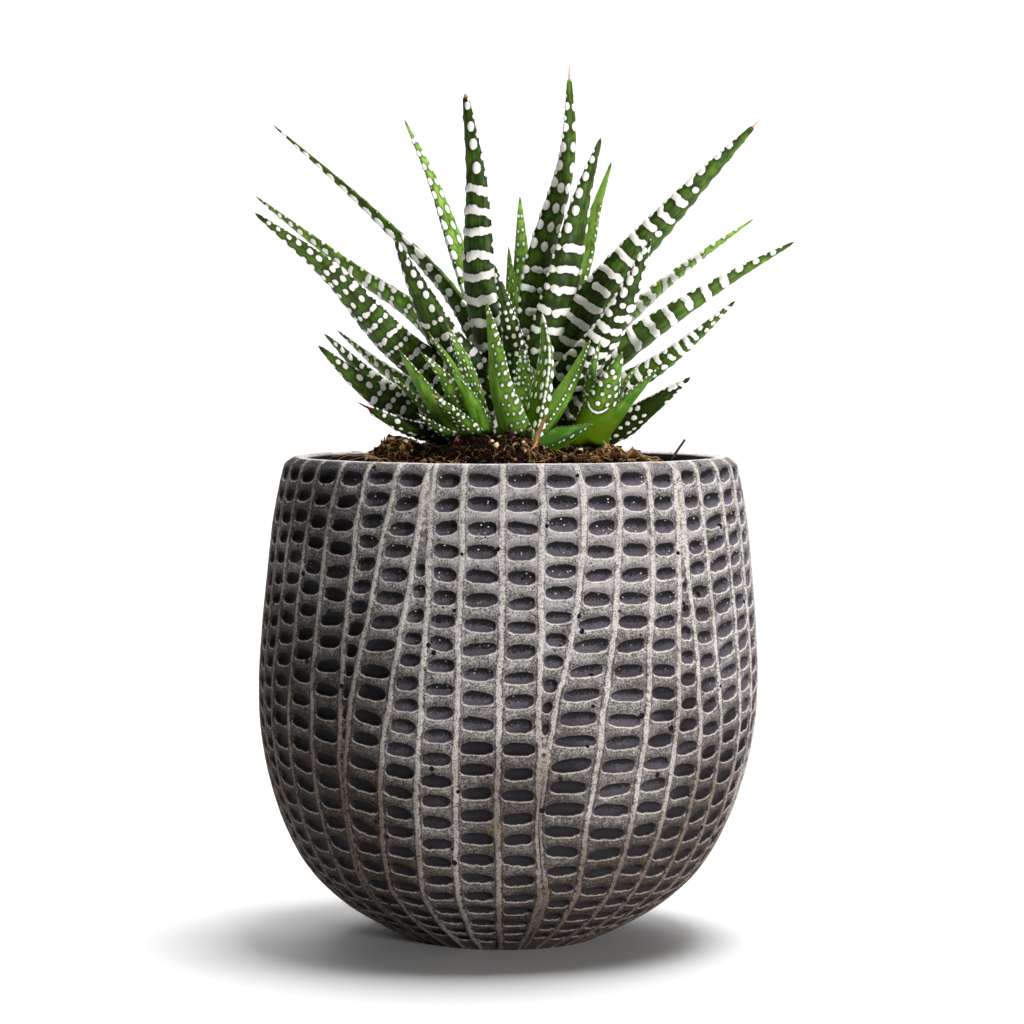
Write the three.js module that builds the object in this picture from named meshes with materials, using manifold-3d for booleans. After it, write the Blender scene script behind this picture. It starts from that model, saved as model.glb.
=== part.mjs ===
// A potted haworthia: a white-banded rosette with three offsets, in peat, in a ribbed and dimpled cement pot.
// Units are millimetres and +Z is up. The origin is the centre of the pot's foot, and the front faces -Y.
import * as THREE from "three";
import { mergeVertices } from "three/addons/utils/BufferGeometryUtils.js";
import Module from "manifold-3d";

// Driving dimensions of the pot
const potHeight = 125.4;
const mouthRadius = 52.4;
const wallThickness = 6;
const floorThickness = 8;
const rimLean = 2; // the hand-made wall leans this far towards +X at its rim
const pitRows = 22;
const pitDepth = 1.1;
const ribRise = 0.2;
const fullPitWidth = 7; // a column this wide or wider has pits of full depth
const narrowestPitColumn = 2.5;
const shallowestPit = 0.12; // a pit with less of its full depth than this is left out

// Driving dimensions of the soil and the plant
const seatGap = 0.3; // clearance between pieces that touch
const soilEdgeHeight = 117.5;
const soilMoundRise = 10.2;
const crown = new THREE.Vector2(4.5, 8); // the main stem's axis
const stemFoot = 112;
const stemTop = 146;
const stemRadius = 5.5;
const leafSeat = 3.8; // a leaf's midrib starts this far from the stem's axis, inside the stem's skin
const bandRise = 0.45; // how far the white bands stand out of a leaf's outer face
const thinnestBlade = 0.6;
const finestDetail = 0.04;

// The pot's outer wall from the foot to just under the lip, as radius and height
const wallOutline = [
  [24.7, 0], [33.5, 4.3], [42.5, 10], [51.3, 18.4], [57.5, 29.3], [61.9, 42],
  [64.4, 55], [65, 68], [64.3, 82], [63.1, 96], [61.6, 110], [59.2, 122.3], [58.1, 124.3],
];
// The rounded lip, from the wall's top over to the mouth
const lipOutline = [
  [57.3, 124.9], [55.8, potHeight], [53.7, 125.2], [mouthRadius, 123.6], [mouthRadius - 0.2, 119],
];

// Where each rib of one half of the wall stands, in degrees from the front:
// at the rim, a quarter of the way down, halfway, and three quarters of the way down.
// Two ribs that nearly touch close a column of pits, and open one where they part again.
const ribCourses = [
  [-84, -84, -84, -84], [-73, -74, -75, -75], [-64.5, -66, -68.5, -68], [-55.5, -57, -59, -60.5],
  [-46.5, -48.5, -49.6, -52], [-37.2, -39.2, -40.4, -43.5], [-28.5, -33.2, -38.8, -42],
  [-20.4, -24, -28.7, -33], [-18.9, -18.5, -20, -23], [-11, -11, -11.3, -12.8], [-2, -1.7, -2, -1.5],
  [7.5, 7, 7, 9.5], [16.8, 14.6, 8.6, 11.1], [26.5, 24, 20.3, 20.5], [35.5, 33.5, 31.5, 31.5],
  [43.8, 41.5, 40.4, 40.8], [45.3, 45.8, 48.8, 50], [52.5, 53.2, 56.8, 59.5], [62.5, 63.5, 66.5, 68.5],
  [73, 72.5, 75, 76], [84.5, 84, 85.5, 86],
];
// Distances up the wall from the foot, at which the courses are given
const courseLevels = [140, 105, 70, 35];

// Each leaf: its width, the height where it leaves the stem, and its midrib from near the stem to the tip.
// Where it is given, turn is how many degrees the leaf's outer face is twisted towards the front,
// and a low taper gives it a long, thin tip.
const mainLeaves = {
  leaf_left_tall: {
    width: 11.5, turn: 15, taper: 1.1, root: 141,
    midrib: [[-11, 11, 166], [-33, 17, 188.6], [-61, 24, 212.5]],
  },
  leaf_left_rear: {
    width: 12, turn: 20, root: 138,
    midrib: [[-22.5, 17, 163.5], [-37.5, 22, 173.5], [-66.5, 32, 194]],
  },
  leaf_left_front: {
    width: 14, turn: 35, root: 136,
    midrib: [[-26, 0, 154], [-44, -6, 173], [-63.5, -10, 188]],
  },
  leaf_left_short: {
    width: 14, turn: 20, root: 139,
    midrib: [[-14.5, -2, 156], [-22.5, -8, 171], [-27.5, -12, 181]],
  },
  leaf_rear_left: {
    width: 10, taper: 1.3, root: 143,
    midrib: [[-11, 19, 177.5], [-19, 27, 199], [-26.5, 34, 214.5]],
  },
  leaf_front_tall: {
    width: 12.4, root: 142,
    midrib: [[-5, -3, 168.5], [-6.5, -7, 196.5], [-9.5, -8, 218.5]],
  },
  leaf_front_young: { width: 8, root: 138, midrib: [[3, -9, 154], [-2, -16, 174.5]] },
  leaf_heart: { width: 7, root: 145, midrib: [[5, 17, 173], [4.5, 24, 193.5]] },
  leaf_heart_small: { width: 5.5, root: 145, midrib: [[2.5, 12, 163], [1.5, 15, 180]] },
  leaf_tallest: {
    width: 11.5, turn: 15, root: 143,
    midrib: [[8.5, 3, 173], [16.5, 1, 203.5], [17.2, 0, 227]],
  },
  leaf_front_broad: { width: 14, root: 140, midrib: [[14.5, -3, 168.5], [20, -9, 192], [25, -14, 207]] },
  leaf_rear_right: { width: 9.5, root: 143, midrib: [[20.5, 19, 175], [24.5, 25, 190], [29, 30, 203]] },
  leaf_right_tall: {
    width: 12.5, turn: 40, root: 140,
    midrib: [[23, -1, 165.5], [46.5, -9, 192], [65.8, -14, 211.8]],
  },
  leaf_right_short: { width: 13, turn: 20, root: 136, midrib: [[27.5, -12, 159], [37.5, -22, 181]] },
  leaf_right_rear: {
    width: 10.5, turn: 25, root: 138,
    midrib: [[34.5, 20, 164.5], [48.5, 27, 175.5], [67.5, 36, 188]],
  },
  leaf_right_long: {
    width: 13.5, turn: 45, taper: 1.05, root: 135,
    midrib: [[31, 7, 153.5], [57, 7, 170.5], [76, 6, 181]],
  },
  leaf_right_low: {
    width: 11, turn: 45, taper: 1.2, root: 133,
    midrib: [[36.5, -5, 147], [46.5, -9, 154], [59.5, -14, 165.5]],
  },
  leaf_right_ground: {
    width: 11.5, turn: 40, root: 131,
    midrib: [[28, -3, 132.5], [35.5, -8, 137], [48, -16, 146]],
  },
  leaf_left_ground: { width: 12, turn: 35, root: 132, midrib: [[-25.5, 10, 139.5], [-47, 12, 157]] },
  leaf_left_ground_rear: { width: 11.5, turn: 20, root: 134, midrib: [[-27.5, 22, 146], [-44.5, 30, 158]] },
  leaf_left_ground_front: {
    width: 12.5, turn: 45, root: 131,
    midrib: [[-23, 0, 136], [-36.5, -4, 144.5], [-47.5, -8, 154]],
  },
  leaf_left_lowest: {
    width: 9.5, turn: 30, root: 130,
    midrib: [[-18, -10, 132], [-26.5, -18, 134.5], [-37, -26, 140]],
  },
  leaf_back_left: { width: 12, root: 134, midrib: [[-8, 36, 147], [-18, 58, 158]] },
  leaf_back_right: { width: 12, root: 135, midrib: [[15, 38, 148], [24, 60, 160]] },
  leaf_back_low_right: { width: 11, root: 132, midrib: [[28, 32, 141], [44, 48, 150]] },
  leaf_back_low_left: { width: 11, root: 131.5, midrib: [[-13, 34, 139], [-26, 52, 146]] },
  leaf_back_low: { width: 11, root: 131, midrib: [[5, 36, 141], [4, 60, 152]] },
};

// Each offset: its own short stem's axis, and its leaves, with each midrib from near the stem out to the tip
const offsets = {
  offset_left: {
    axis: [-5, -18],
    leaves: [
      { width: 8, midrib: [[-12, -17, 148], [-19, -14, 157.5]] },
      { width: 12, midrib: [[-13.5, -20.5, 137], [-19, -24, 143.5], [-26, -26, 153]] },
      { width: 9, midrib: [[-10, -21.5, 139], [-14.5, -27, 146.5], [-20.5, -30, 152.5]] },
      { width: 9.5, midrib: [[-9.5, -13.5, 149], [-14, -10, 159]] },
      { width: 7.5, midrib: [[-8, -27, 140.5], [-12.5, -32, 147.5]] },
      { width: 7, midrib: [[-12, -29, 137.5], [-17.5, -36, 142]] },
      { width: 7, midrib: [[-14, -22, 132.5], [-21.5, -29, 137]] },
      { width: 8, midrib: [[-17, -19, 137], [-23.5, -20, 142.5], [-29, -20, 147]] },
    ],
  },
  offset_middle: {
    axis: [6, -22],
    leaves: [
      { width: 14.5, taper: 1.3, midrib: [[0.5, -27.5, 145], [-1, -28, 153], [-4, -26, 165]] },
      { width: 8, midrib: [[6, -18, 143], [4.5, -14.5, 154]] },
      { width: 10, midrib: [[10.5, -23, 151], [10, -20, 162.5]] },
      { width: 10, midrib: [[16, -18.5, 144], [22.5, -14, 156]] },
      { width: 11, turn: -35, midrib: [[14.5, -28, 131.5], [22.5, -34, 134.5]] },
    ],
  },
  offset_right: {
    axis: [21.5, -15.5],
    leaves: [
      { width: 8.5, midrib: [[22, -15.5, 146], [24.9, -16.5, 155.5]] },
      { width: 12, midrib: [[25.5, -23, 142], [30, -30, 152.5]] },
      { width: 7, midrib: [[30, -13, 143.5], [34.5, -11, 149]] },
      { width: 10, midrib: [[31.5, -19, 141], [39.5, -22, 148.5]] },
    ],
  },
};
const offsetFoot = 118;
const offsetTop = 132;
const offsetLeafRoot = 129.8;
const offsetStemRadius = 3.5;

const clayColour = 0x4a4542;
const peatColour = 0x3d291c;
const leafColour = 0x35542c;
const offsetColour = 0x4f7d2e;
const stemColour = 0x6f7a45;
const dryColour = 0xa9805a;
const twigColour = 0x1d1714;

const wasm = await Module();
wasm.setup();

// Turns a closed geometry into a solid that can be joined and cut.
function solidOf(geometry) {
  const bare = geometry.clone();
  bare.deleteAttribute("normal");
  bare.deleteAttribute("uv");
  const merged = mergeVertices(bare, 1e-4);
  const mesh = new wasm.Mesh({
    numProp: 3,
    vertProperties: new Float32Array(merged.attributes.position.array),
    triVerts: new Uint32Array(merged.index.array),
  });
  return new wasm.Manifold(mesh);
}

function geometryOf(solid) {
  const mesh = solid.getMesh();
  const geometry = new THREE.BufferGeometry();
  geometry.setAttribute("position", new THREE.Float32BufferAttribute(mesh.vertProperties, 3));
  geometry.setIndex([...mesh.triVerts]);
  return geometry;
}

// A cut can leave loose scraps and slivers: only the largest piece is kept, without the finest facets.
function largestPiece(solid) {
  return solid.simplify(finestDetail).decompose().sort((a, b) => b.volume() - a.volume())[0];
}

// Skins a closed surface over rings of equally many points, with a single point at each end.
// The rings turn anticlockwise as seen from the last end.
function skinRings(startPoint, rings, endPoint) {
  const count = rings[0].length;
  const positions = [startPoint, ...rings.flat(), endPoint].flatMap((point) => point.toArray());
  const last = 1 + rings.length * count;
  const faces = [];
  for (let i = 0; i < count; i += 1) {
    const next = (i + 1) % count;
    faces.push(0, 1 + next, 1 + i);
    for (let ring = 0; ring < rings.length - 1; ring += 1) {
      const low = 1 + ring * count;
      const high = low + count;
      faces.push(low + i, low + next, high + next);
      faces.push(low + i, high + next, high + i);
    }
    const top = last - count;
    faces.push(top + i, top + next, last);
  }
  const geometry = new THREE.BufferGeometry();
  geometry.setAttribute("position", new THREE.Float32BufferAttribute(positions, 3));
  geometry.setIndex(faces);
  return geometry;
}

function namedMesh(name, geometry, colour, roughness) {
  const finished = geometry.index ? geometry.toNonIndexed() : geometry;
  finished.computeVertexNormals();
  const material = new THREE.MeshStandardMaterial({ color: colour, roughness, metalness: 0 });
  const mesh = new THREE.Mesh(finished, material);
  mesh.name = name;
  return mesh;
}

// Pot wall

const wallCurve = new THREE.SplineCurve(wallOutline.map((point) => new THREE.Vector2(...point)));
wallCurve.arcLengthDivisions = 600;
const wallLength = wallCurve.getLength();

function leanAt(height) {
  return rimLean * (1 - (1 - Math.min(height, potHeight) / potHeight) ** 1.6);
}

// A point of the wall, at a distance up it and at an angle from the front, moved inwards by depth
function wallPoint(distance, degrees, depth = 0) {
  const share = THREE.MathUtils.clamp(distance / wallLength, 0, 1);
  const point = wallCurve.getPointAt(share);
  const along = wallCurve.getTangentAt(share);
  const radius = point.x - along.y * depth;
  const height = point.y + along.x * depth;
  return turned(radius, height, degrees);
}

function turned(radius, height, degrees) {
  const angle = THREE.MathUtils.degToRad(degrees);
  return new THREE.Vector3(leanAt(height) + radius * Math.sin(angle), -radius * Math.cos(angle), height);
}

// All ribs round the pot: the back half repeats the front half's courses.
const allRibs = [...ribCourses, ...ribCourses.map((course) => course.map((degrees) => degrees + 180))];

function ribAngle(rib, distance) {
  const course = allRibs[rib % allRibs.length];
  const wholeTurns = 360 * Math.floor(rib / allRibs.length);
  const level = courseLevels.findIndex((start) => distance >= start);
  if (level === 0) return course[0] + wholeTurns;
  if (level < 0) return course.at(-1) + wholeTurns;
  const share = (distance - courseLevels[level]) / (courseLevels[level - 1] - courseLevels[level]);
  return THREE.MathUtils.lerp(course[level], course[level - 1], share) + wholeTurns;
}

// Row boundaries down the wall: the rows grow a little taller towards the foot.
const topRowEdge = 141.4;
function rowEdge(row) {
  return topRowEdge - 5.62 * row - 0.03 * row * row;
}

// The inside follows the outer wall one thickness in. The soil's skin lies one gap further in.
const insideLevels = [120, 90, 60, 34];
function insideRing(level, extra) {
  return allRibs.map((course) => wallPoint(level, course[0], wallThickness + extra));
}
const insideFloorRadius = 34;

function potGeometry() {
  const count = allRibs.length;
  const rings = [];
  const foot = allRibs.map((course) => turned(wallOutline[0][0], 0, course.at(-1)));
  rings.push(foot);
  for (let row = pitRows; row >= 0; row -= 1) {
    const distance = rowEdge(row);
    rings.push(allRibs.map((course, rib) => wallPoint(distance, ribAngle(rib, distance), -ribRise)));
  }
  for (const [radius, height] of lipOutline) {
    rings.push(allRibs.map((course) => turned(radius, height, course[0])));
  }
  for (const level of insideLevels) rings.push(insideRing(level, 0));
  rings.push(allRibs.map((course) => turned(insideFloorRadius, floorThickness, course[0])));
  const start = turned(0, 0, 0);
  const end = turned(0, floorThickness, 0);

  const positions = [start, ...rings.flat(), end];
  const last = positions.length - 1;
  const faces = [];
  for (let i = 0; i < count; i += 1) {
    const next = (i + 1) % count;
    faces.push([0, 1 + next, 1 + i]);
    for (let ring = 0; ring < rings.length - 1; ring += 1) {
      const low = 1 + ring * count;
      const high = low + count;
      const isPitRow = ring >= 1 && ring <= pitRows;
      const width = positions[low + i].distanceTo(positions[low + next]);
      const fullness = isPitRow ? THREE.MathUtils.smoothstep(width, narrowestPitColumn, fullPitWidth) : 0;
      if (fullness < shallowestPit) {
        faces.push([low + i, low + next, high + next], [low + i, high + next, high + i]);
        continue;
      }
      const distance = (rowEdge(pitRows + 1 - ring) + rowEdge(pitRows - ring)) / 2;
      const left = ribAngle(i, distance);
      const right = ribAngle(i + 1, distance);
      const centre = positions.length;
      positions.push(wallPoint(distance, (left + right) / 2, pitDepth * fullness));
      faces.push([low + i, low + next, centre], [low + next, high + next, centre]);
      faces.push([high + next, high + i, centre], [high + i, low + i, centre]);
    }
    faces.push([last - count + i, last - count + next, last]);
  }
  const geometry = new THREE.BufferGeometry();
  const numbers = positions.flatMap((point) => point.toArray());
  geometry.setAttribute("position", new THREE.Float32BufferAttribute(numbers, 3));
  geometry.setIndex(faces.flat());
  return geometry;
}

// Soil

const soilClumps = [
  { at: [-28, -19], radius: 7, rise: 7.5 },
  { at: [-5, -33], radius: 8, rise: 5.5 },
  { at: [5, -34], radius: 6, rise: 4 },
  { at: [28, -27], radius: 7, rise: 5 },
  { at: [8, -23], radius: 12, rise: 3 },
  { at: [-14, -29], radius: 6, rise: 3 },
  { at: [17, 26], radius: 8, rise: 3 },
  { at: [-20, 22], radius: 9, rise: 2.5 },
];

function soilHeight(x, y) {
  const reach = Math.hypot(x - rimLean, y) / mouthRadius;
  let height = soilEdgeHeight + soilMoundRise * (1 - reach ** 2.4);
  for (const clump of soilClumps) {
    const distance = Math.hypot(x - clump.at[0], y - clump.at[1]) / clump.radius;
    height += clump.rise * Math.exp(-(distance ** 2)) * Math.max(0, 1 - reach ** 6);
  }
  const lumps = Math.sin(x * 0.55 + 1) * Math.sin(y * 0.6) + 0.6 * Math.sin(x * 0.9 - y * 0.8);
  return height + 0.6 * lumps * Math.max(0, 1 - reach ** 4);
}

function soilGeometry() {
  const rings = [];
  const bottomRadius = insideFloorRadius - 1;
  const bottomHeight = floorThickness + seatGap;
  rings.push(allRibs.map((course) => turned(bottomRadius, bottomHeight, course[0])));
  for (const level of [...insideLevels].reverse()) rings.push(insideRing(level, seatGap));
  for (const share of [0.99, 0.86, 0.72, 0.57, 0.4, 0.2]) {
    rings.push(allRibs.map((course) => {
      const point = turned(share * (mouthRadius - 0.5), soilEdgeHeight, course[0]);
      point.z = soilHeight(point.x, point.y);
      return point;
    }));
  }
  const start = turned(0, bottomHeight, 0);
  const end = new THREE.Vector3(rimLean, 0, soilHeight(rimLean, 0));
  return skinRings(start, rings, end);
}

// Leaves

// The outline of a leaf across its midrib: slightly crowned towards the stem, and deep and keeled outside
const leafSection = [
  { side: -1, up: 0 }, { side: -0.62, up: -0.72, outer: true }, { side: 0, up: -1, outer: true },
  { side: 0.62, up: -0.72, outer: true }, { side: 1, up: 0 }, { side: 0, up: 0.3 },
];
const depthShare = 0.38; // of the width, from the margins down to the keel

// A tapering leaf along its midrib. Every other ring is raised outside, which gives the bands across it.
function leafGeometry(base, leaf, rings, grow = 0) {
  const points = [base, ...leaf.midrib.map((point) => new THREE.Vector3(...point))];
  const midrib = new THREE.CatmullRomCurve3(points, false, "centripetal");
  const tip = midrib.getPoint(1);
  const outward = new THREE.Vector3(tip.x - base.x, tip.y - base.y, 0).normalize();
  const across = new THREE.Vector3(0, 0, 1).cross(outward);
  const twist = THREE.MathUtils.degToRad(leaf.turn ?? 0) * -Math.sign(across.y);
  const loops = [];
  for (let ring = 0; ring <= rings; ring += 1) {
    const share = (ring / rings) ** 0.9;
    const centre = midrib.getPointAt(share);
    const along = midrib.getTangentAt(share);
    const level = across.clone().addScaledVector(along, -across.dot(along)).normalize();
    const side = level.applyAxisAngle(along, twist);
    const up = along.clone().cross(side);
    const taper = 1 - 0.93 * share ** (leaf.taper ?? 1.7);
    const halfWidth = Math.max(leaf.width * taper, thinnestBlade) / 2 + grow;
    const depth = Math.max(leaf.width * taper * depthShare, thinnestBlade / 2) + grow;
    const fade = Math.min(1, 4 * share, 5 * (1 - share));
    const raised = ring % 2 === 1 ? bandRise * fade : 0;
    loops.push(leafSection.map((corner) => {
      const out = corner.outer ? raised / 2 : 0;
      return centre.clone()
        .addScaledVector(side, corner.side * (halfWidth + out))
        .addScaledVector(up, corner.up * (depth + (corner.outer ? raised : 0)));
    }));
  }
  const rootEnd = base.clone().addScaledVector(midrib.getTangentAt(0), -grow);
  const tipEnd = tip.clone().addScaledVector(midrib.getTangentAt(1), grow + 0.2);
  return skinRings(rootEnd, loops, tipEnd);
}

function mainLeafBase(leaf) {
  const toward = new THREE.Vector2(leaf.midrib[0][0], leaf.midrib[0][1]).sub(crown).normalize();
  return new THREE.Vector3(crown.x + leafSeat * toward.x, crown.y + leafSeat * toward.y, leaf.root);
}

// A short stem that narrows upwards to a rounded top
function stemGeometry(axis, foot, top, radius, grow = 0) {
  const outline = [
    [0, foot - grow], [radius * 0.8 + grow, foot - grow], [radius + grow, foot + 4],
    [radius * 0.95 + grow, (foot + top) / 2], [radius * 0.6 + grow, top - 2], [0, top + grow],
  ];
  const geometry = new THREE.LatheGeometry(outline.map(([r, z]) => new THREE.Vector2(r, z)), 14);
  geometry.rotateX(Math.PI / 2);
  geometry.translate(axis.x, axis.y, 0);
  return geometry;
}

const meshes = [];
let taken = solidOf(stemGeometry(crown, stemFoot, stemTop, stemRadius, seatGap));
meshes.push(namedMesh("main_stem", stemGeometry(crown, stemFoot, stemTop, stemRadius), stemColour, 0.6));

// The leaves are seated from the heart outwards: each is cut back where an earlier one already is.
const longLeafRings = 15;
const shortLeafRings = 10;
const longLeafTip = 165; // leaves whose tips stand above this height have more bands
const smallLeafRings = 6;
const seatOrder = Object.entries(mainLeaves).sort((a, b) => b[1].root - a[1].root);
for (const [name, leaf] of seatOrder) {
  const base = mainLeafBase(leaf);
  const rings = leaf.midrib.at(-1)[2] > longLeafTip ? longLeafRings : shortLeafRings;
  const solid = largestPiece(solidOf(leafGeometry(base, leaf, rings)).subtract(taken));
  meshes.push(namedMesh(name, geometryOf(solid), leafColour, 0.5));
  taken = taken.add(solidOf(leafGeometry(base, leaf, rings, seatGap)));
}

// Each offset is one piece: its leaves are joined to its stem, and it is cut back from what it leans on.
for (const [name, offset] of Object.entries(offsets)) {
  const axis = new THREE.Vector2(...offset.axis);
  const base = new THREE.Vector3(axis.x, axis.y, offsetLeafRoot);
  let solid = solidOf(stemGeometry(axis, offsetFoot, offsetTop, offsetStemRadius));
  let grown = solidOf(stemGeometry(axis, offsetFoot, offsetTop, offsetStemRadius, seatGap));
  for (const leaf of offset.leaves) {
    solid = solid.add(solidOf(leafGeometry(base, leaf, smallLeafRings)));
    grown = grown.add(solidOf(leafGeometry(base, leaf, smallLeafRings, seatGap)));
  }
  meshes.push(namedMesh(name, geometryOf(largestPiece(solid.subtract(taken))), offsetColour, 0.5));
  taken = taken.add(grown);
}

// A dried leaf base that clasps the middle and right offsets
const dryLeaf = { width: 5.5, midrib: [[8.6, -32.5, 132], [11.4, -32.5, 137.5]] };
const dryLeafBase = new THREE.Vector3(6.5, -31.5, 125);
const wholeDryLeaf = solidOf(leafGeometry(dryLeafBase, dryLeaf, smallLeafRings));
const dryLeafSolid = largestPiece(wholeDryLeaf.subtract(taken));
meshes.push(namedMesh("dry_leaf_base", geometryOf(dryLeafSolid), dryColour, 0.8));
taken = taken.add(solidOf(leafGeometry(dryLeafBase, dryLeaf, smallLeafRings, seatGap)));

// A dark twig that stands in the soil near the rim
function twigGeometry(grow = 0) {
  const route = new THREE.CatmullRomCurve3([
    new THREE.Vector3(39.5, -26, 117), new THREE.Vector3(43.4, -24, 126), new THREE.Vector3(46.3, -22, 130.2),
  ]);
  const section = new THREE.Shape();
  section.absarc(0, 0, 0.45 + grow, 0, 2 * Math.PI);
  return new THREE.ExtrudeGeometry(section, { steps: 6, curveSegments: 3, extrudePath: route });
}
meshes.push(namedMesh("twig", twigGeometry(), twigColour, 0.8));
taken = taken.add(solidOf(twigGeometry(seatGap)));

const soilSolid = largestPiece(solidOf(soilGeometry()).subtract(taken));
meshes.push(namedMesh("soil", geometryOf(soilSolid), peatColour, 0.95));
meshes.push(namedMesh("pot", potGeometry(), clayColour, 0.85));

const haworthia = new THREE.Group();
haworthia.add(...meshes);

export default haworthia;
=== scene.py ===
import math

import bmesh
import bpy
import numpy as np
from mathutils import Matrix, Vector, noise


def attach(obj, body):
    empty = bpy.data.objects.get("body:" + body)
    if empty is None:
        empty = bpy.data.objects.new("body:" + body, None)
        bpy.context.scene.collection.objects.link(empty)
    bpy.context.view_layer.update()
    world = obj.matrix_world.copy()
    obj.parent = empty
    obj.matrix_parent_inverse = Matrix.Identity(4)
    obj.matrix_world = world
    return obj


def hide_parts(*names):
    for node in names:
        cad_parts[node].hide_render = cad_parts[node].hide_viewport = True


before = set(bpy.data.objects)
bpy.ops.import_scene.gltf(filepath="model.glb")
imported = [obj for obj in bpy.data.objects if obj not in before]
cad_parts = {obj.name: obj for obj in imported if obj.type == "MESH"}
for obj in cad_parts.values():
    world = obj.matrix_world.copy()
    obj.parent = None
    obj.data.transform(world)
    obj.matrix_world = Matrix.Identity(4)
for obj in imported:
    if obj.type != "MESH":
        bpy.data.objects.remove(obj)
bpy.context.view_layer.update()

bl_info = {
    "name": "Potted Haworthia",
    "version": (1, 0, 0),
    "blender": (4, 5, 0),
    "location": "View3D > Sidebar > Haworthia",
    "description": "Builds the finished surfaces of a potted haworthia on its packed frame",
    "category": "Add Mesh",
}

MM = 0.001  # metres in a millimetre

# Sizes of the pot, as radius and height from the foot up to the lip, and over it to the mouth
POT_HEIGHT = 125.4
MOUTH_RADIUS = 52.4
WALL_THICKNESS = 6
FLOOR_THICKNESS = 8
RIM_LEAN = 2
WALL_OUTLINE = [
    (24.7, 0), (33.5, 4.3), (42.5, 10), (51.3, 18.4), (57.5, 29.3), (61.9, 42),
    (64.4, 55), (65, 68), (64.3, 82), (63.1, 96), (61.6, 110), (59.2, 122.3), (58.1, 124.3),
]
LIP_OUTLINE = [(57.3, 124.9), (55.8, POT_HEIGHT), (53.7, 125.2), (MOUTH_RADIUS, 123.6), (52.2, 119)]
INSIDE_LEVELS = [120, 90, 60, 34]
INSIDE_FLOOR_RADIUS = 34

# Where each rib of the front half stands, in degrees from the front, at four distances up the wall.
# The back half repeats them.
COURSE_LEVELS = [140, 105, 70, 35]
RIB_COURSES = [
    (-84, -84, -84, -84), (-73, -74, -75, -75), (-64.5, -66, -68.5, -68), (-55.5, -57, -59, -60.5),
    (-46.5, -48.5, -49.6, -52), (-37.2, -39.2, -40.4, -43.5), (-28.5, -33.2, -38.8, -42),
    (-20.4, -24, -28.7, -33), (-18.9, -18.5, -20, -23), (-11, -11, -11.3, -12.8), (-2, -1.7, -2, -1.5),
    (7.5, 7, 7, 9.5), (16.8, 14.6, 8.6, 11.1), (26.5, 24, 20.3, 20.5), (35.5, 33.5, 31.5, 31.5),
    (43.8, 41.5, 40.4, 40.8), (45.3, 45.8, 48.8, 50), (52.5, 53.2, 56.8, 59.5), (62.5, 63.5, 66.5, 68.5),
    (73, 72.5, 75, 76), (84.5, 84, 85.5, 86),
]
# The pits of each column between two ribs: the top pit's distance up the wall, and the spacing below it.
# A column that starts or ends part of the way down gives its last pit's distance too.
PIT_COLUMNS = [
    (139.2, 5.45), (139.2, 5.3), (139.4, 5.2), (139.2, 5.6), (139.3, 5.85), (139.4, 5.3, 75),
    (139.1, 5.83), (117.3, 5.5), (139.1, 5.65), (139.6, 5.95), (139.3, 5.95), (139.3, 5.5, 73),
    (139.3, 5.8), (139.5, 5.9), (139, 5.87), (111.9, 5.72), (139.2, 5.75), (139.1, 5.47),
    (139.2, 5.35), (139.2, 5.5), (139.2, 5.5),
]

# Sizes of the soil
SEAT_GAP = 0.3
SOIL_EDGE_HEIGHT = 117.5
SOIL_MOUND_RISE = 10.2
SOIL_CLUMPS = [  # place, radius and rise
    (-28, -19, 7, 7.5), (-5, -33, 8, 5.5), (5, -34, 6, 4), (28, -27, 7, 5),
    (8, -23, 12, 3), (-14, -29, 6, 3), (17, 26, 8, 3), (-20, 22, 9, 2.5),
]
DRY_PLACES = [  # place, radius, and how much drier the peat is there: below 0 it is moister
    (-4, -33, 11, -0.38), (-22, -24, 9, 0.18), (25, -28, 9, 0.12),
]
LONG_ROOTS = [  # routes of the roots that stand clear of the soil
    [(-27, -30, 124), (-34, -31, 126.5), (-41, -26, 125.5), (-45, -18, 123.5)],
    [(-30, -27, 125), (-37, -24, 127), (-43, -16, 125.8), (-47, -6, 122.5)],
    [(-24, -36, 123), (-31, -34, 126), (-39, -28, 124.8), (-42, -22, 121)],
    [(30, -30, 124), (36, -28, 126.3), (42, -22, 124.5), (45, -14, 121)],
]
LARGE_FLAKES = [  # place, length and width, then turn and tip in degrees: the first three lean on each other
    (31.4, -27, 126.2, 6.4, 2.2, 24, 48), (35.6, -27.4, 126, 6.6, 3, 158, 38),
    (33.6, -25.6, 126, 4.6, 3.4, 90, 60), (37, -28, 124.8, 4, 1.6, 150, 12),
    (22, -34, 125.4, 5, 1.5, 10, 8), (16, -37, 124.6, 5.5, 1.2, 165, 10), (39, -20, 124.6, 3.4, 1.8, 60, 20),
]

# Sizes of the plant
CROWN = np.array([4.5, 8])
LEAF_SEAT = 3.8
DEPTH_SHARE = 0.38  # of a leaf's width, from its margins down to its keel
NO_BANDS = 20  # a leaf with this many rows of dots or more has no bands
OFFSET_LEAF_ROOT = 129.8
OFFSET_STEM_RADIUS = 3.5
OFFSET_STEM_SIDES = 20
OFFSET_STEM_OUTLINE = [  # share of its radius, and height
    (0.8, 118), (1, 122), (0.95, 125), (0.6, 130), (0.25, 131.6),
]

# Where the dots of a row stand across the outer face: -1 and 1 are its margins and 0 is its keel
KEEL = (0,)
PAIR = (-0.55, 0.55)
EDGES = (-0.97, 0.97)

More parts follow.
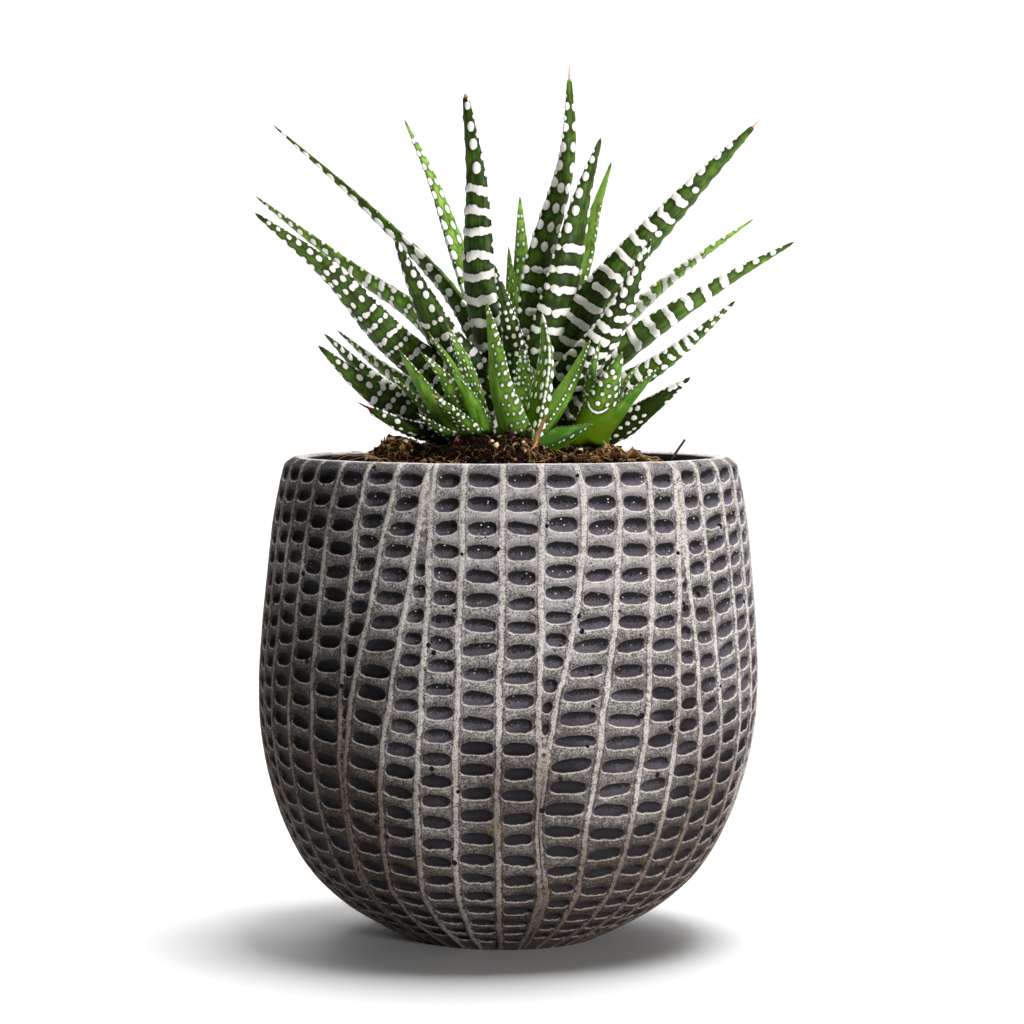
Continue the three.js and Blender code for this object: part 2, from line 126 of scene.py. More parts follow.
# Each leaf's width, root height, turn, taper and midrib are those of its node in the frame.
# Its marks are the distance from the tip to the first row of tubercles, the spacing of the rows at the tip
# and at the base, how many rows are dots before the bands start, and where those dots stand. A word in the
# last place gives rows of small dots: "rows" has them all round, "half" on one side, and "teeth" only at the
# margins. Band gives the ends of its bands in the same way, join is the chance that neighbouring tubercles of
# a band touch, dots scales the tubercles, edge those at its margins, and stretch lengthens its separate dots.
# Those of the later columns start where the leaf is wide, and line is where one more column of long dots
# stands. A leaf with both set is marked on its inner face as well.
# Its tone runs from about 0, dark green, to 1, light green. Tip is the length that has dried, rust is how red
# that is, and blunt is the share of its width that its end keeps.
MAIN_LEAVES = {
    "leaf_left_tall": dict(
        width=11.5, root=141, turn=15, taper=1.1, midrib=[(-11, 11, 166), (-33, 17, 188.6), (-61, 24, 212.5)],
        marks=(4, 4.4, 4.6, 12, (0.47, 0.95)), later=(0.95,), stretch=1.9, join=0.3, dots=0.95, edge=0.2,
        tone=0.35),
    "leaf_left_rear": dict(
        width=12, root=138, turn=20, midrib=[(-22.5, 17, 163.5), (-37.5, 22, 173.5), (-66.5, 32, 194)],
        marks=(5, 4, 5, 7, PAIR), join=0.45, dots=0.8, tone=0.8, tip=1.6),
    "leaf_left_front": dict(
        width=14, root=136, turn=35, midrib=[(-26, 0, 154), (-44, -6, 173), (-63.5, -10, 188)],
        marks=(4, 3.0, 4.2, 10, (-0.3, 0.6, 0.15, 0.95)), later=(0.15, 0.95), join=0.35, dots=0.7, tone=0.3),
    "leaf_left_short": dict(
        width=14, root=139, turn=20, midrib=[(-14.5, -2, 156), (-22.5, -8, 171), (-27.5, -12, 181)],
        marks=(3, 3, 4.2, 6, PAIR), join=0.4, dots=0.8, tone=0.1),
    "leaf_rear_left": dict(
        width=10, root=143, taper=1.3, midrib=[(-11, 19, 177.5), (-19, 27, 199), (-26.5, 34, 214.5)],
        marks=(7, 4.4, 4.6, 12, (0.92, -0.15)), dots=1.0, edge=0.2, both=True, tone=0.75),
    "leaf_front_tall": dict(
        width=12.4, root=142, midrib=[(-5, -3, 168.5), (-6.5, -7, 196.5), (-9.5, -8, 218.5)],
        marks=(3.3, 5, 5.9, 4, (0.42,)), join=0.93, dots=1.1, tone=0.15, tip=0.9, blunt=0.15),
    "leaf_front_young": dict(
        width=8, root=138, midrib=[(3, -9, 154), (-2, -16, 174.5)],
        marks=(2, 2, 2.3, 40, "rows"), tone=0.05, dots=0.5),
    "leaf_heart": dict(
        width=7, root=145, midrib=[(5, 17, 173), (4.5, 24, 193.5)],
        marks=(6, 4, 4, 20, (-0.3, 0.5)), dots=0.55, both=True, tone=0.85),
    "leaf_heart_small": dict(
        width=5.5, root=145, midrib=[(2.5, 12, 163), (1.5, 15, 180)],
        marks=(5, 4, 4, 20, (-0.3, 0.5)), dots=0.5, both=True, tone=0.85),
    "leaf_tallest": dict(
        width=11.5, root=143, turn=15, midrib=[(8.5, 3, 173), (16.5, 1, 203.5), (17.2, 0, 227)],
        marks=(11, 5, 5.6, 8, (-0.85, 0.15, -0.35)), later=(-0.35,), join=0.75, tone=0.35, tip=4.7),
    "leaf_front_broad": dict(
        width=14, root=140, midrib=[(14.5, -3, 168.5), (20, -9, 192), (25, -14, 207)],
        marks=(5.5, 4.4, 5.7, 5, (-0.62, 0.62)), join=0.8, tone=0.1),
    "leaf_rear_right": dict(
        width=9.5, root=143, midrib=[(20.5, 19, 175), (24.5, 25, 190), (29, 30, 203)],
        marks=(16, 4.4, 5, 20, EDGES), dots=0.5, tone=0.85),
    "leaf_right_tall": dict(
        width=12.5, root=140, turn=40, midrib=[(23, -1, 165.5), (46.5, -9, 192), (65.8, -14, 211.8)],
        marks=(10, 4.7, 5.2, 3, (-0.85,)), band=(-0.95, 0.15), line=0.82, join=0.88, tone=0.2, tip=3.1),
    "leaf_right_short": dict(
        width=13, root=136, turn=20, midrib=[(27.5, -12, 159), (37.5, -22, 181)],
        marks=(3, 2.8, 4, 5, PAIR), join=0.75, tone=0.05),
    "leaf_right_rear": dict(
        width=10.5, root=138, turn=25, midrib=[(34.5, 20, 164.5), (48.5, 27, 175.5), (67.5, 36, 188)],
        marks=(9, 3.8, 4.8, 3, KEEL), join=0.93, tone=1.15),
    "leaf_right_long": dict(
        width=13.5, root=135, turn=45, taper=1.05, midrib=[(31, 7, 153.5), (57, 7, 170.5), (76, 6, 181)],
        marks=(6, 4.8, 6, 3, (-0.6,)), band=(-0.95, 0.28), join=0.96, tone=0.38),
    "leaf_right_low": dict(
        width=11, root=133, turn=45, taper=1.2, midrib=[(36.5, -5, 147), (46.5, -9, 154), (59.5, -14, 165.5)],
        marks=(3, 2.4, 3.6, 4, (-0.7, 0.1)), band=(-0.95, 0.35), join=0.85, dots=0.75, tone=0.35),
    "leaf_right_ground": dict(
        width=11.5, root=131, turn=40, midrib=[(28, -3, 132.5), (35.5, -8, 137), (48, -16, 146)],
        marks=(2.5, 2.1, 2.6, 30, "rows"), dots=0.62, tone=-0.15),
    "leaf_left_ground": dict(
        width=12, root=132, turn=35, midrib=[(-25.5, 10, 139.5), (-47, 12, 157)],
        marks=(4, 2.8, 4, 3, PAIR), join=0.5, dots=0.75, both=True, tone=0.3),
    "leaf_left_ground_rear": dict(
        width=11.5, root=134, turn=20, midrib=[(-27.5, 22, 146), (-44.5, 30, 158)],
        marks=(4, 2.8, 4, 3, PAIR), join=0.5, dots=0.75, both=True, tone=0.65),
    "leaf_left_ground_front": dict(
        width=12.5, root=131, turn=45, midrib=[(-23, 0, 136), (-36.5, -4, 144.5), (-47.5, -8, 154)],
        marks=(6, 3.2, 4.2, 4, PAIR), join=0.5, dots=0.75, tone=0.2),
    "leaf_left_lowest": dict(
        width=9.5, root=130, turn=30, midrib=[(-18, -10, 132), (-26.5, -18, 134.5), (-37, -26, 140)],
        marks=(6, 2.1, 2.6, 30, "rows"), both=True, tone=0.05, tip=5.5, rust=1, dots=0.6),
    "leaf_back_left": dict(
        width=12, root=134, midrib=[(-8, 36, 147), (-18, 58, 158)], marks=(5, 3.4, 5, 4, PAIR), tone=0.4),
    "leaf_back_right": dict(
        width=12, root=135, midrib=[(15, 38, 148), (24, 60, 160)], marks=(5, 3.6, 5.2, 4, KEEL), tone=0.3),
    "leaf_back_low_right": dict(
        width=11, root=132, midrib=[(28, 32, 141), (44, 48, 150)], marks=(4, 3.2, 4.6, 3, PAIR), tone=0.3),
    "leaf_back_low_left": dict(
        width=11, root=131.5, midrib=[(-13, 34, 139), (-26, 52, 146)],
        marks=(4, 3.4, 4.6, 3, KEEL), tone=0.4),
    "leaf_back_low": dict(
        width=11, root=131, midrib=[(5, 36, 141), (4, 60, 152)], marks=(5, 3.4, 4.8, 3, PAIR), tone=0.2),
}

# Each offset's axis, and its leaves in the same terms, with rows of small dots instead of bands.
# Base is how strongly its foot is olive, bare is the share of its length at the foot that has no dots, and
# smile is where one curved band crosses it, as a share of its length.
OFFSETS = {
    "offset_left": dict(axis=(-5, -18), leaves=[
        dict(width=8, midrib=[(-12, -17, 148), (-19, -14, 157.5)],
             marks=(5, 2.6, 3, 20, "teeth"), tone=0.3),
        dict(width=12, midrib=[(-13.5, -20.5, 137), (-19, -24, 143.5), (-26, -26, 153)],
             marks=(4, 2.6, 3, 20, "teeth"), tone=0.35, base=1),
        dict(width=9, midrib=[(-10, -21.5, 139), (-14.5, -27, 146.5), (-20.5, -30, 152.5)],
             marks=(2.5, 1.8, 2.2, 30, "rows"), tone=0.5, base=0.7),
        dict(width=9.5, midrib=[(-9.5, -13.5, 149), (-14, -10, 159)],
             marks=(2.5, 1.9, 2.3, 30, "rows"), both=True, tone=0.3, base=0.5),
        dict(width=7.5, midrib=[(-8, -27, 140.5), (-12.5, -32, 147.5)],
             marks=(4, 2.4, 3, 20, "teeth"), tone=0.35),
        dict(width=7, midrib=[(-12, -29, 137.5), (-17.5, -36, 142)],
             marks=(2.5, 1.7, 2, 30, "rows"), tone=0.15, tip=1.5),
        dict(width=7, midrib=[(-14, -22, 132.5), (-21.5, -29, 137)],
             marks=(2.5, 1.7, 2, 30, "rows"), tone=0),
        dict(width=8, midrib=[(-17, -19, 137), (-23.5, -20, 142.5), (-29, -20, 147)],
             marks=(3, 2, 2.4, 30, "rows"), tone=0),
    ]),
    "offset_middle": dict(axis=(6, -22), leaves=[
        dict(width=14.5, taper=1.3, midrib=[(0.5, -27.5, 145), (-1, -28, 153), (-4, -26, 165)],
             marks=(3, 2, 2.4, 40, "half"), tone=0.6),
        dict(width=8, midrib=[(6, -18, 143), (4.5, -14.5, 154)],
             marks=(2.5, 1.8, 2.2, 30, "rows"), both=True, tone=0.2),
        dict(width=10, midrib=[(10.5, -23, 151), (10, -20, 162.5)],
             marks=(2.5, 2.3, 3.2, 30, "rows"), both=True, tone=0.6, dots=0.75, base=1),
        dict(width=10, midrib=[(16, -18.5, 144), (22.5, -14, 156)],
             marks=(2.5, 1.8, 2.2, 30, "teeth"), tone=0.42),
        dict(width=11, turn=-35, midrib=[(14.5, -28, 131.5), (22.5, -34, 134.5)],
             marks=(2.5, 1.8, 2.2, 20, "teeth"), tone=-0.1),
    ]),
    "offset_right": dict(axis=(21.5, -15.5), leaves=[
        dict(width=8.5, midrib=[(22, -15.5, 146), (24.9, -16.5, 155.5)],
             marks=(2.5, 1.8, 2.2, 30, "rows"), both=True, tone=0.5),
        dict(width=12, midrib=[(25.5, -23, 142), (30, -30, 152.5)],
             marks=(2.5, 2.2, 2.7, 30, "rows"), smile=0.4, bare=0.46, tone=0.22, dots=0.55, base=1),
        dict(width=7, midrib=[(30, -13, 143.5), (34.5, -11, 149)],
             marks=(4, 3, 3, 20, "teeth"), tone=1, base=0.4),
        dict(width=10, midrib=[(31.5, -19, 141), (39.5, -22, 148.5)],
             marks=(2.5, 1.9, 2.3, 20, "teeth"), tone=0.15, base=1),
    ]),
}

DRY_LEAF = dict(width=4, midrib=[(8.6, -32.5, 132), (11.4, -32.5, 137.5)])
DRY_LEAF_BASE = (6.5, -31.5, 125)
TWIG_ROUTE = [(39.5, -26, 117), (43.4, -24, 126), (46.3, -22, 130.2)]
TWIG_RADIUS = 0.45
TWIG_POINTS = 30

# The camera stands where the photograph's did: its distance, height above the foot, and downward tilt
CAMERA_PLACE = (2.39, -900, 158.09)
CAMERA_DOWN_DEGREES = 3.016
CAMERA_LENS = 121.57
CAMERA_SENSOR = 36

# The floor runs level to its bend, which rises into the backdrop
FLOOR_REACH = 3000
FLOOR_BEND = 900
BACKDROP_HEIGHT = 3000
LIT_PLACE = (0, 0, 110)


def hex_colour(code):
    """A shader colour from its six-digit screen value."""
    parts = [int(code[i:i + 2], 16) / 255 for i in (0, 2, 4)]
    return [c / 12.92 if c <= 0.04045 else ((c + 0.055) / 1.055) ** 2.4 for c in parts] + [1.0]


def colour_property(name, description, code):
    return bpy.props.FloatVectorProperty(
        name=name, description=description, subtype="COLOR", size=4, min=0, max=1, default=hex_colour(code))


def length_property(name, description, millimetres):
    return bpy.props.FloatProperty(
        name=name, description=description, unit="LENGTH", min=0, precision=5, default=millimetres * MM)


def number_property(name, description, value):
    return bpy.props.FloatProperty(name=name, description=description, min=0, default=value)


def count_property(name, description, value):
    return bpy.props.IntProperty(name=name, description=description, min=0, default=value)


def power_property(name, description, watts):
    return bpy.props.FloatProperty(name=name, description=description, subtype="POWER", min=0, default=watts)


class HAWORTHIA_PG_pot(bpy.types.PropertyGroup):
    """Sizes and colours of the pot"""
    pit_depth: length_property("Pit depth", "How deep the pits are pressed into the wall", 1.5)
    rib_rise: length_property("Rib rise", "How far the ribs stand out of the wall", 0.5)
    rib_width: length_property("Rib width", "Width of a rib at its foot", 1.6)
    body: colour_property("Body", "Cement between the pits", "6a6562")
    # Dark specks also serve as the painted shade at the sides of the ribs and above each pit
    speck_dark: colour_property("Dark specks", "Dark grains in the cement", "262220")
    speck_light: colour_property("Light specks", "Light grains in the cement", "b6b0ae")
    rib: colour_property("Ribs", "Worn ribs", "cdc6bf")
    # Chalk is mixed in most at the front and least on the left, as painted light
    chalk: colour_property("Chalk", "Chalky bloom near the mouth", "cac5c5")
    # Pit lips: pale wear, made brighter still as a painted highlight; also the colour of the painted glints
    lip: colour_property("Pit lips", "Bright lower edges of the pits", "f1ebe6")
    # The two pit colours are shaded and lit copies of one dark glazing: the upper one is painted shade
    pit_top: colour_property("Pit, upper", "Glaze under a pit's upper edge", "131114")
    pit_low: colour_property("Pit, lower", "Glaze on a pit's lower slope", "68636c")
    # The stain also darkens the lower wall and the left side as painted shade
    brown: colour_property("Stain", "Brown stain over the lower wall", "7d6f62")
    # The inside of the mouth is painted near black as shade
    inside: colour_property("Inside", "Smooth wall inside the mouth", "0b0a0a")


class HAWORTHIA_PG_soil(bpy.types.PropertyGroup):
    """Amounts and colours of the soil"""
    crumbs: count_property("Crumbs", "Number of peat crumbs on the soil", 2800)
    fibres: count_property("Fibres", "Number of peat fibres on the soil", 2600)
    flakes: count_property("Flakes", "Number of bark flakes on the soil", 300)
    grains: count_property("Grains", "Number of pale grains on the soil", 150)
    dark: colour_property("Dark peat", "Moist peat in the hollows", "120905")
    brown: colour_property("Brown peat", "Peat on the surface", "4a2b17")
    tan: colour_property("Fibre", "Dry fibres and bark", "cfa573")
    pale: colour_property("Grain", "Pale mineral grains", "e2d09c")


class HAWORTHIA_PG_plant(bpy.types.PropertyGroup):
    """Sizes and colours of the plant"""
    tubercle_rise: length_property("Tubercle rise", "How far the white tubercles stand out", 0.48)
    tubercle_radius: length_property("Tubercle radius", "Radius of one white tubercle", 1.12)
    mesh_step: length_property("Mesh step", "Spacing of the points along a large leaf", 0.42)
    offset_step: length_property("Offset mesh step", "Spacing of the points along an offset's leaf", 0.28)
    dark: colour_property("Dark leaf", "The darkest leaves", "26390e")
    light: colour_property("Light leaf", "The lightest leaves", "628729")
    shade: colour_property("Shade", "Skin close to the tubercles and at a dark tip", "131c07")
    offset: colour_property("Offset", "Leaves of the offsets", "3c6914")
    offset_light: colour_property("Light offset", "The lightest leaves of the offsets", "8cb545")
    pale: colour_property("Pale leaf", "Thin leaves with the light behind them", "86ad48")
    olive: colour_property("Leaf base", "The base of an offset's leaves", "506a06")
    white: colour_property("Tubercle", "The raised white tubercles", "fdfbf6")
    dry: colour_property("Dry", "Dried tips", "b3814f")
    rust: colour_property("Rust", "A reddened tip", "631c10")
    stem: colour_property("Stem", "The short stem", "6f7a45")
    papery_dark: colour_property("Papery, dark", "Dark streaks of the dried leaf base", "5c3f22")
    papery: colour_property("Papery", "The dried leaf base", "93683c")
    papery_light: colour_property("Papery, light", "Light streaks of the dried leaf base", "cdb084")
    twig_dark: colour_property("Twig, dark", "Dark streaks of the twig", "0d0b0a")
    twig: colour_property("Twig", "Bark of the twig", "3a302a")


class HAWORTHIA_PG_stage(bpy.types.PropertyGroup):
    """Light and floor"""
    sky: number_property("Sky", "Strength of the even light from all round", 0.06)
    top: power_property("Top light", "The light above the plant", 10)
    key: power_property("Key light", "The light at the right", 10.5)
    back: power_property("Back light", "The wide light over the backdrop", 140)
    floor: colour_property("Floor", "Pale floor and backdrop", "f8f8f8")


# Curves

class Line:
    """A smooth line through a few points, read by the distance along it."""

    def __init__(self, points, power, mirrored, steps=80):
        points = np.asarray(points, float)
        first = 2 * points[0] - points[1] if mirrored else points[0]
        last = 2 * points[-1] - points[-2] if mirrored else points[-1]
        knots = np.vstack([first, points, last])
        places = []
        share = np.linspace(0, 1, steps, endpoint=False)[:, None]
        for a, b, c, d in zip(knots, knots[1:], knots[2:], knots[3:]):
            before, here, after = (float(np.linalg.norm(q - p)) ** power for p, q in ((a, b), (b, c), (c, d)))
            leave = ((b - a) / before - (c - a) / (before + here) + (c - b) / here) * here
            arrive = ((c - b) / here - (d - b) / (here + after) + (d - c) / after) * here
            cubic = 2 * b - 2 * c + leave + arrive
            square = -3 * b + 3 * c - 2 * leave - arrive
            places.append(b + leave * share + square * share ** 2 + cubic * share ** 3)
        places.append(points[-1:])
        self.places = np.vstack(places)
        gaps = np.linalg.norm(np.diff(self.places, axis=0), axis=1)
        self.distances = np.concatenate([[0], np.cumsum(gaps)])
        self.length = self.distances[-1]
        slopes = np.gradient(self.places, self.distances, axis=0)
        self.slopes = slopes / np.linalg.norm(slopes, axis=1)[:, None]

    def read(self, table, distance):
        columns = [np.interp(distance, self.distances, table[:, k]) for k in range(table.shape[1])]
        return np.stack(columns, axis=-1)

    def at(self, distance):
        return self.read(self.places, distance)

    def slope(self, distance):
        found = self.read(self.slopes, distance)
        return found / np.linalg.norm(found, axis=-1, keepdims=True)


def smooth_share(value, low, high):
    """0 below low, 1 above high, and a smooth rise between."""
    share = np.clip((np.asarray(value, float) - low) / (high - low), 0, 1)
    return share * share * (3 - 2 * share)


def noise_at(points, size, seed=0.0):
    """Smooth noise from about -1 to 1 at points in millimetres, with features of the given size."""
    shift = Vector((seed * 7.3, seed * 3.1, seed * 5.7))
    return np.array([noise.noise(Vector(point) / size + shift) for point in points])


# Meshes

class MeshParts:
    """Collects points in millimetres, faces and named values for each point, and makes one piece of them."""

    def __init__(self):
        self.points = []
        self.faces = []
        self.values = {}
        self.count = 0

    def add(self, points, faces, **values):
        start = self.count
        self.points.append(np.asarray(points, float))
        self.faces.extend([[start + corner for corner in face] for face in faces])
        for name, value in values.items():
            value = np.asarray(value, float)
            if value.ndim == 0:
                value = np.full(len(points), float(value))
            self.values.setdefault(name, []).append(value)
        self.count += len(points)
        return start

    def join_rings(self, low, high):
        """Adds the faces between two rings with as many points each."""
        for k in range(len(low)):
            after = (k + 1) % len(low)
            self.faces.append((low[k], low[after], high[after], high[k]))

    def add_ring(self, points, before=None, **values):
        """Adds a ring of points, joined to the ring before it, and gives the numbers of its points."""
        start = self.add(points, [], **values)
        ring = list(range(start, start + len(points)))
        if before:
            self.join_rings(before, ring)
        return ring

    def close_ring(self, ring, middle, **values):
        """Closes a ring with triangles that meet at a point in its middle."""
        centre = self.add([middle], [], **values)
        self.faces += [(ring[k], ring[(k + 1) % len(ring)], centre) for k in range(len(ring))]

    def piece(self, name, material, smooth=True):
        mesh = bpy.data.meshes.new(name)
        mesh.from_pydata((np.vstack(self.points) * MM).tolist(), [], self.faces)
        for key, parts in self.values.items():
            whole = np.concatenate(parts)
            if whole.ndim == 1:
                mesh.attributes.new(key, "FLOAT", "POINT").data.foreach_set("value", whole)
            else:
                mesh.attributes.new(key, "FLOAT_VECTOR", "POINT").data.foreach_set("vector", whole.ravel())
        mesh.materials.append(material)
        if smooth:
            mesh.shade_smooth()
        piece = bpy.data.objects.new(name, mesh)
        bpy.context.scene.collection.objects.link(piece)
        return piece


def grid_faces(rows, columns, closed):
    """Faces between the rings of a grid that is numbered row by row."""
    faces = []
    for row in range(rows - 1):
        low = row * columns
        high = low + columns
        for i in range(columns if closed else columns - 1):
            after = (i + 1) % columns
            faces.append((low + i, low + after, high + after, high + i))
    return faces


def capped_faces(rows, columns):
    """Faces of a closed tube that is numbered row by row, with a flat cap at each end."""
    last = (rows - 1) * columns
    caps = [tuple(range(columns))[::-1], tuple(range(last, last + columns))]
    return grid_faces(rows, columns, closed=True) + caps


def seat(piece, slot, *nodes):
    """The piece rides on the frame in place of its nodes; its material slot is not used."""
    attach(piece, "root")
    if nodes:
        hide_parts(*nodes)


# Shader nodes

class Finish:
    """A material under construction, with short ways to add and join its nodes."""

    def __init__(self, name, **surface):
        self.material = bpy.data.materials.new(name)
        self.material.use_nodes = True
        self.tree = self.material.node_tree
        self.shader = self.tree.nodes["Principled BSDF"]
        for socket, value in surface.items():
            self.shader.inputs[socket.replace("_", " ")].default_value = value
        self.place = self.add("ShaderNodeTexCoord").outputs["Object"]

    def add(self, kind, inputs=(), **settings):
        made = self.tree.nodes.new(kind)
        for key, value in settings.items():
            setattr(made, key, value)
        for key, value in dict(inputs).items():
            self.join(value, made.inputs[key])
        return made

    def join(self, value, socket):
        if isinstance(value, bpy.types.NodeSocket):
            self.tree.links.new(value, socket)
        else:
            socket.default_value = value

    def value(self, name):
        return self.add("ShaderNodeAttribute", attribute_name=name).outputs["Fac"]

    def vector(self, name):
        return self.add("ShaderNodeAttribute", attribute_name=name).outputs["Vector"]

    def noise(self, size, detail=2, roughness=0.5, place=None, unit=MM):
        """Noise from 0 to 1 with features of about this many millimetres."""
        inputs = {"Vector": place or self.place, "Scale": 1 / (size * unit), "Detail": detail,
                  "Roughness": roughness}
        return self.add("ShaderNodeTexNoise", inputs).outputs["Fac"]

    def spots(self, size):
        """A Voronoi pattern: the distance to the nearest centre in cells, and each cell's random colour."""
        made = self.add("ShaderNodeTexVoronoi", {"Vector": self.place, "Scale": 1 / (size * MM)})
        return made.outputs["Distance"], made.outputs["Color"]

    def stretched(self, place, share):
        """The coordinates with their first axis shortened, which draws a pattern out along it."""
        inputs = {0: place, 1: (share, 1.0, 1.0)}
        return self.add("ShaderNodeVectorMath", inputs, operation="MULTIPLY").outputs[0]

    def math(self, operation, a, b=0.0, clamp=False):
        return self.add("ShaderNodeMath", {0: a, 1: b}, operation=operation, use_clamp=clamp).outputs[0]

    def total(self, result, *others):
        """The sum of all its inputs."""
        for other in others:
            result = self.math("ADD", result, other)
        return result

    def product(self, result, *others):
        for other in others:
            result = self.math("MULTIPLY", result, other)
        return result

    def spread(self, value, low, high, to_low=0.0, to_high=1.0):
        """Maps low to high smoothly onto another range."""
        inputs = {"Value": value, "From Min": low, "From Max": high, "To Min": to_low, "To Max": to_high}
        return self.add("ShaderNodeMapRange", inputs, interpolation_type="SMOOTHSTEP").outputs["Result"]

    def ripple(self, noise, reach, low=0.3, high=0.7):
        """Noise made into a change from -reach to reach."""
        return self.spread(noise, low, high, -reach, reach)

    def mix(self, share, a, b, blend="MIX"):
        made = self.add("ShaderNodeMix", data_type="RGBA", blend_type=blend)
        for value, socket in ((share, made.inputs[0]), (a, made.inputs[6]), (b, made.inputs[7])):
            self.join(value, socket)
        return made.outputs[2]

    def ramp(self, value, *stops):
        """A colour ramp through (position, colour) stops."""
        made = self.add("ShaderNodeValToRGB", {"Fac": value})
        elements = made.color_ramp.elements
        while len(elements) < len(stops):
            elements.new(0.5)
        for element, (position, colour) in zip(elements, stops):
            element.position = position
            element.color = colour
        return made.outputs["Color"]

    def colour(self, value):
        self.join(value, self.shader.inputs["Base Color"])

    def rough(self, value):
        self.join(value, self.shader.inputs["Roughness"])

    def relief(self, height, distance, strength):
        """Low relief of the surface, up to a distance in millimetres."""
        inputs = {"Height": height, "Distance": distance * MM, "Strength": strength}
        self.join(self.add("ShaderNodeBump", inputs).outputs["Normal"], self.shader.inputs["Normal"])


# Pot

WALL = Line(WALL_OUTLINE, power=0, mirrored=False)
WALL_INSET = 0.4  # the wall lies this far inside the frame's, so that the ribs stay within it
STRIP_TOP = 142.0  # a strip of pits runs between these two distances up the wall
STRIP_FOOT = 0.5
LOWEST_PIT = 7.0
CREST_STEP = 1.1
CREST_ROUGHNESS = 0.05
PLAIN_STEP = 2.6
RIB_FOOT_SHARE = 0.3  # of a strip's width, at most, under one rib's foot
NARROWEST_STRIP = 1.8  # no pits are pressed into a narrower strip
FULL_STRIP = 5.5  # from this width on they have their full depth
PIT_END_POWER = 0.42  # rounds the ends of a pit's edge lines
PIT_END_SHARE = 0.3  # of its half height, kept by a pit's edge line past its ends
PIT_EDGE = 0.5  # width of the slope inside a pit's edge
LIP_RISE = 0.12
ARCH_RISE = 1.7
ARCH_DROP = 2.6
ARCH_DEPTH = 0.3
ARCH_LEAST_WIDTH = 4
POINTS_ACROSS = 9
EVEN_PLACES = np.array([-1, -0.9, -0.78, -0.4, 0, 0.4, 0.78, 0.9, 1])  # of the points across a plain row
NO_PIT = -1.5  # the value of the pit and arch fields away from them
PLAIN_WALL = dict(pit=NO_PIT, floor=0.0, arch=NO_PIT, rib=0.0, rim=0.0, inside=0.0)
LIP_STEPS = [0.9, 1.7, 2.5, 3.4, 4.6, 5.8, 6.9, 7.8, 9, 10.5, 12.5]  # of its rings, from the wall's top
RIBBED_LIP_RINGS = 2


def lean_at(height):
    """How far the pot's axis has moved to the right at a height."""
    return RIM_LEAN * (1 - (1 - np.minimum(height, POT_HEIGHT) / POT_HEIGHT) ** 1.6)


def turned(radius, height, degrees):
    """Points round the pot's axis at a radius, a height and an angle from the front."""
    angle = np.radians(degrees)
    across = lean_at(height) + radius * np.sin(angle)
    return np.stack([across, -radius * np.cos(angle), height + 0 * angle], axis=-1)


def wall_place(distance, degrees, depth):
    """Points of the wall at a distance up it and an angle from the front, moved inwards by depth."""
    place = WALL.at(distance)
    slope = WALL.slope(distance)
    return turned(place[..., 0] - slope[..., 1] * depth, place[..., 1] + slope[..., 0] * depth, degrees)


def rib_line(rib):
    """The angle of a rib as a function of the distance up the wall."""
    half = len(RIB_COURSES)
    course = np.array(RIB_COURSES[rib % half], float) + 180 * (rib // half)
    cubic = np.polyfit(COURSE_LEVELS, course, 3)
    wobble = np.random.default_rng(100 + rib).uniform(0, 2 * math.pi, 2)

    def angle(distance):
        distance = np.asarray(distance)
        level = np.clip(distance, COURSE_LEVELS[-1] - 3, STRIP_TOP)
        slow = 0.16 * np.sin(distance / 5.1 + wobble[0])
        quick = 0.12 * np.sin(distance / 2.3 + wobble[1])
        return np.polyval(cubic, level) + slow + quick
    return angle


def pit_column(column, settings):
    """The pits of one column, from the top down."""
    half_count = len(PIT_COLUMNS)
    first, spacing, *rest = PIT_COLUMNS[column % half_count]
    last = rest[0] if rest else LOWEST_PIT
    draw = np.random.default_rng(200 + column)
    pits = []
    place = first - 0.6 + (draw.uniform(-0.4, 0.4) if column >= half_count else 0)
    while place > last:
        height_share = place / STRIP_TOP
        pits.append(dict(
            place=place + draw.uniform(-0.3, 0.3),
            half=(1.5 + 0.3 * height_share) * draw.uniform(0.9, 1.12),
            width=draw.uniform(0.71, 0.85),
            top_dome=(2.7 + 2.8 * height_share) * draw.uniform(0.85, 1.15),
            low_dome=(7.0 - 3.2 * height_share) * draw.uniform(0.85, 1.15),
            skew=draw.normal(0, 0.16), tilt=draw.normal(0, 2.6),
            depth=settings.pit_depth / MM * draw.uniform(0.85, 1.15),
        ))
        place -= spacing * draw.uniform(0.985, 1.015)
    return pits


def pit_lines(pit, half, reach):
    """Lines across one pit, from above its upper edge to below its lip. Each gives the offsets up the wall
    from the pit's centre, and 1 for the line along the lip's top. Reach is -1 and 1 at the pit's ends."""
    top_end = np.clip(1 - np.abs(reach) ** pit["top_dome"], 0, 1)
    low_end = np.clip(1 - np.abs(reach) ** pit["low_dome"], 0, 1)
    skewed = half * (1 + pit["skew"] * np.clip(reach, -1, 1))
    top = skewed * np.maximum(top_end ** PIT_END_POWER, PIT_END_SHARE)
    low = half * np.maximum(low_end ** PIT_END_POWER, PIT_END_SHARE)
    return [
        (top + 0.4, 0), (top, 0), (top - 0.32, 0), (0.35 * top, 0), (-0.3 * low, 0),
        (-(low - 0.5), 0), (-low, 0), (-low - 0.27, 1), (-low - 0.75, 0),
    ]


def pit_field(pit, half, reach, up):
    """How far points lie inside the edge of a pit, in millimetres: a rounded box with a top of its own."""
    skewed = half * (1 + pit["skew"] * np.clip(reach, -1, 1))
    upward = np.abs(up / np.where(up > 0, skewed, half)) ** 2.4
    sideways = np.abs(reach) ** np.where(up > 0, pit["top_dome"], pit["low_dome"])
    return (1 - (sideways + upward) ** 0.45) * half


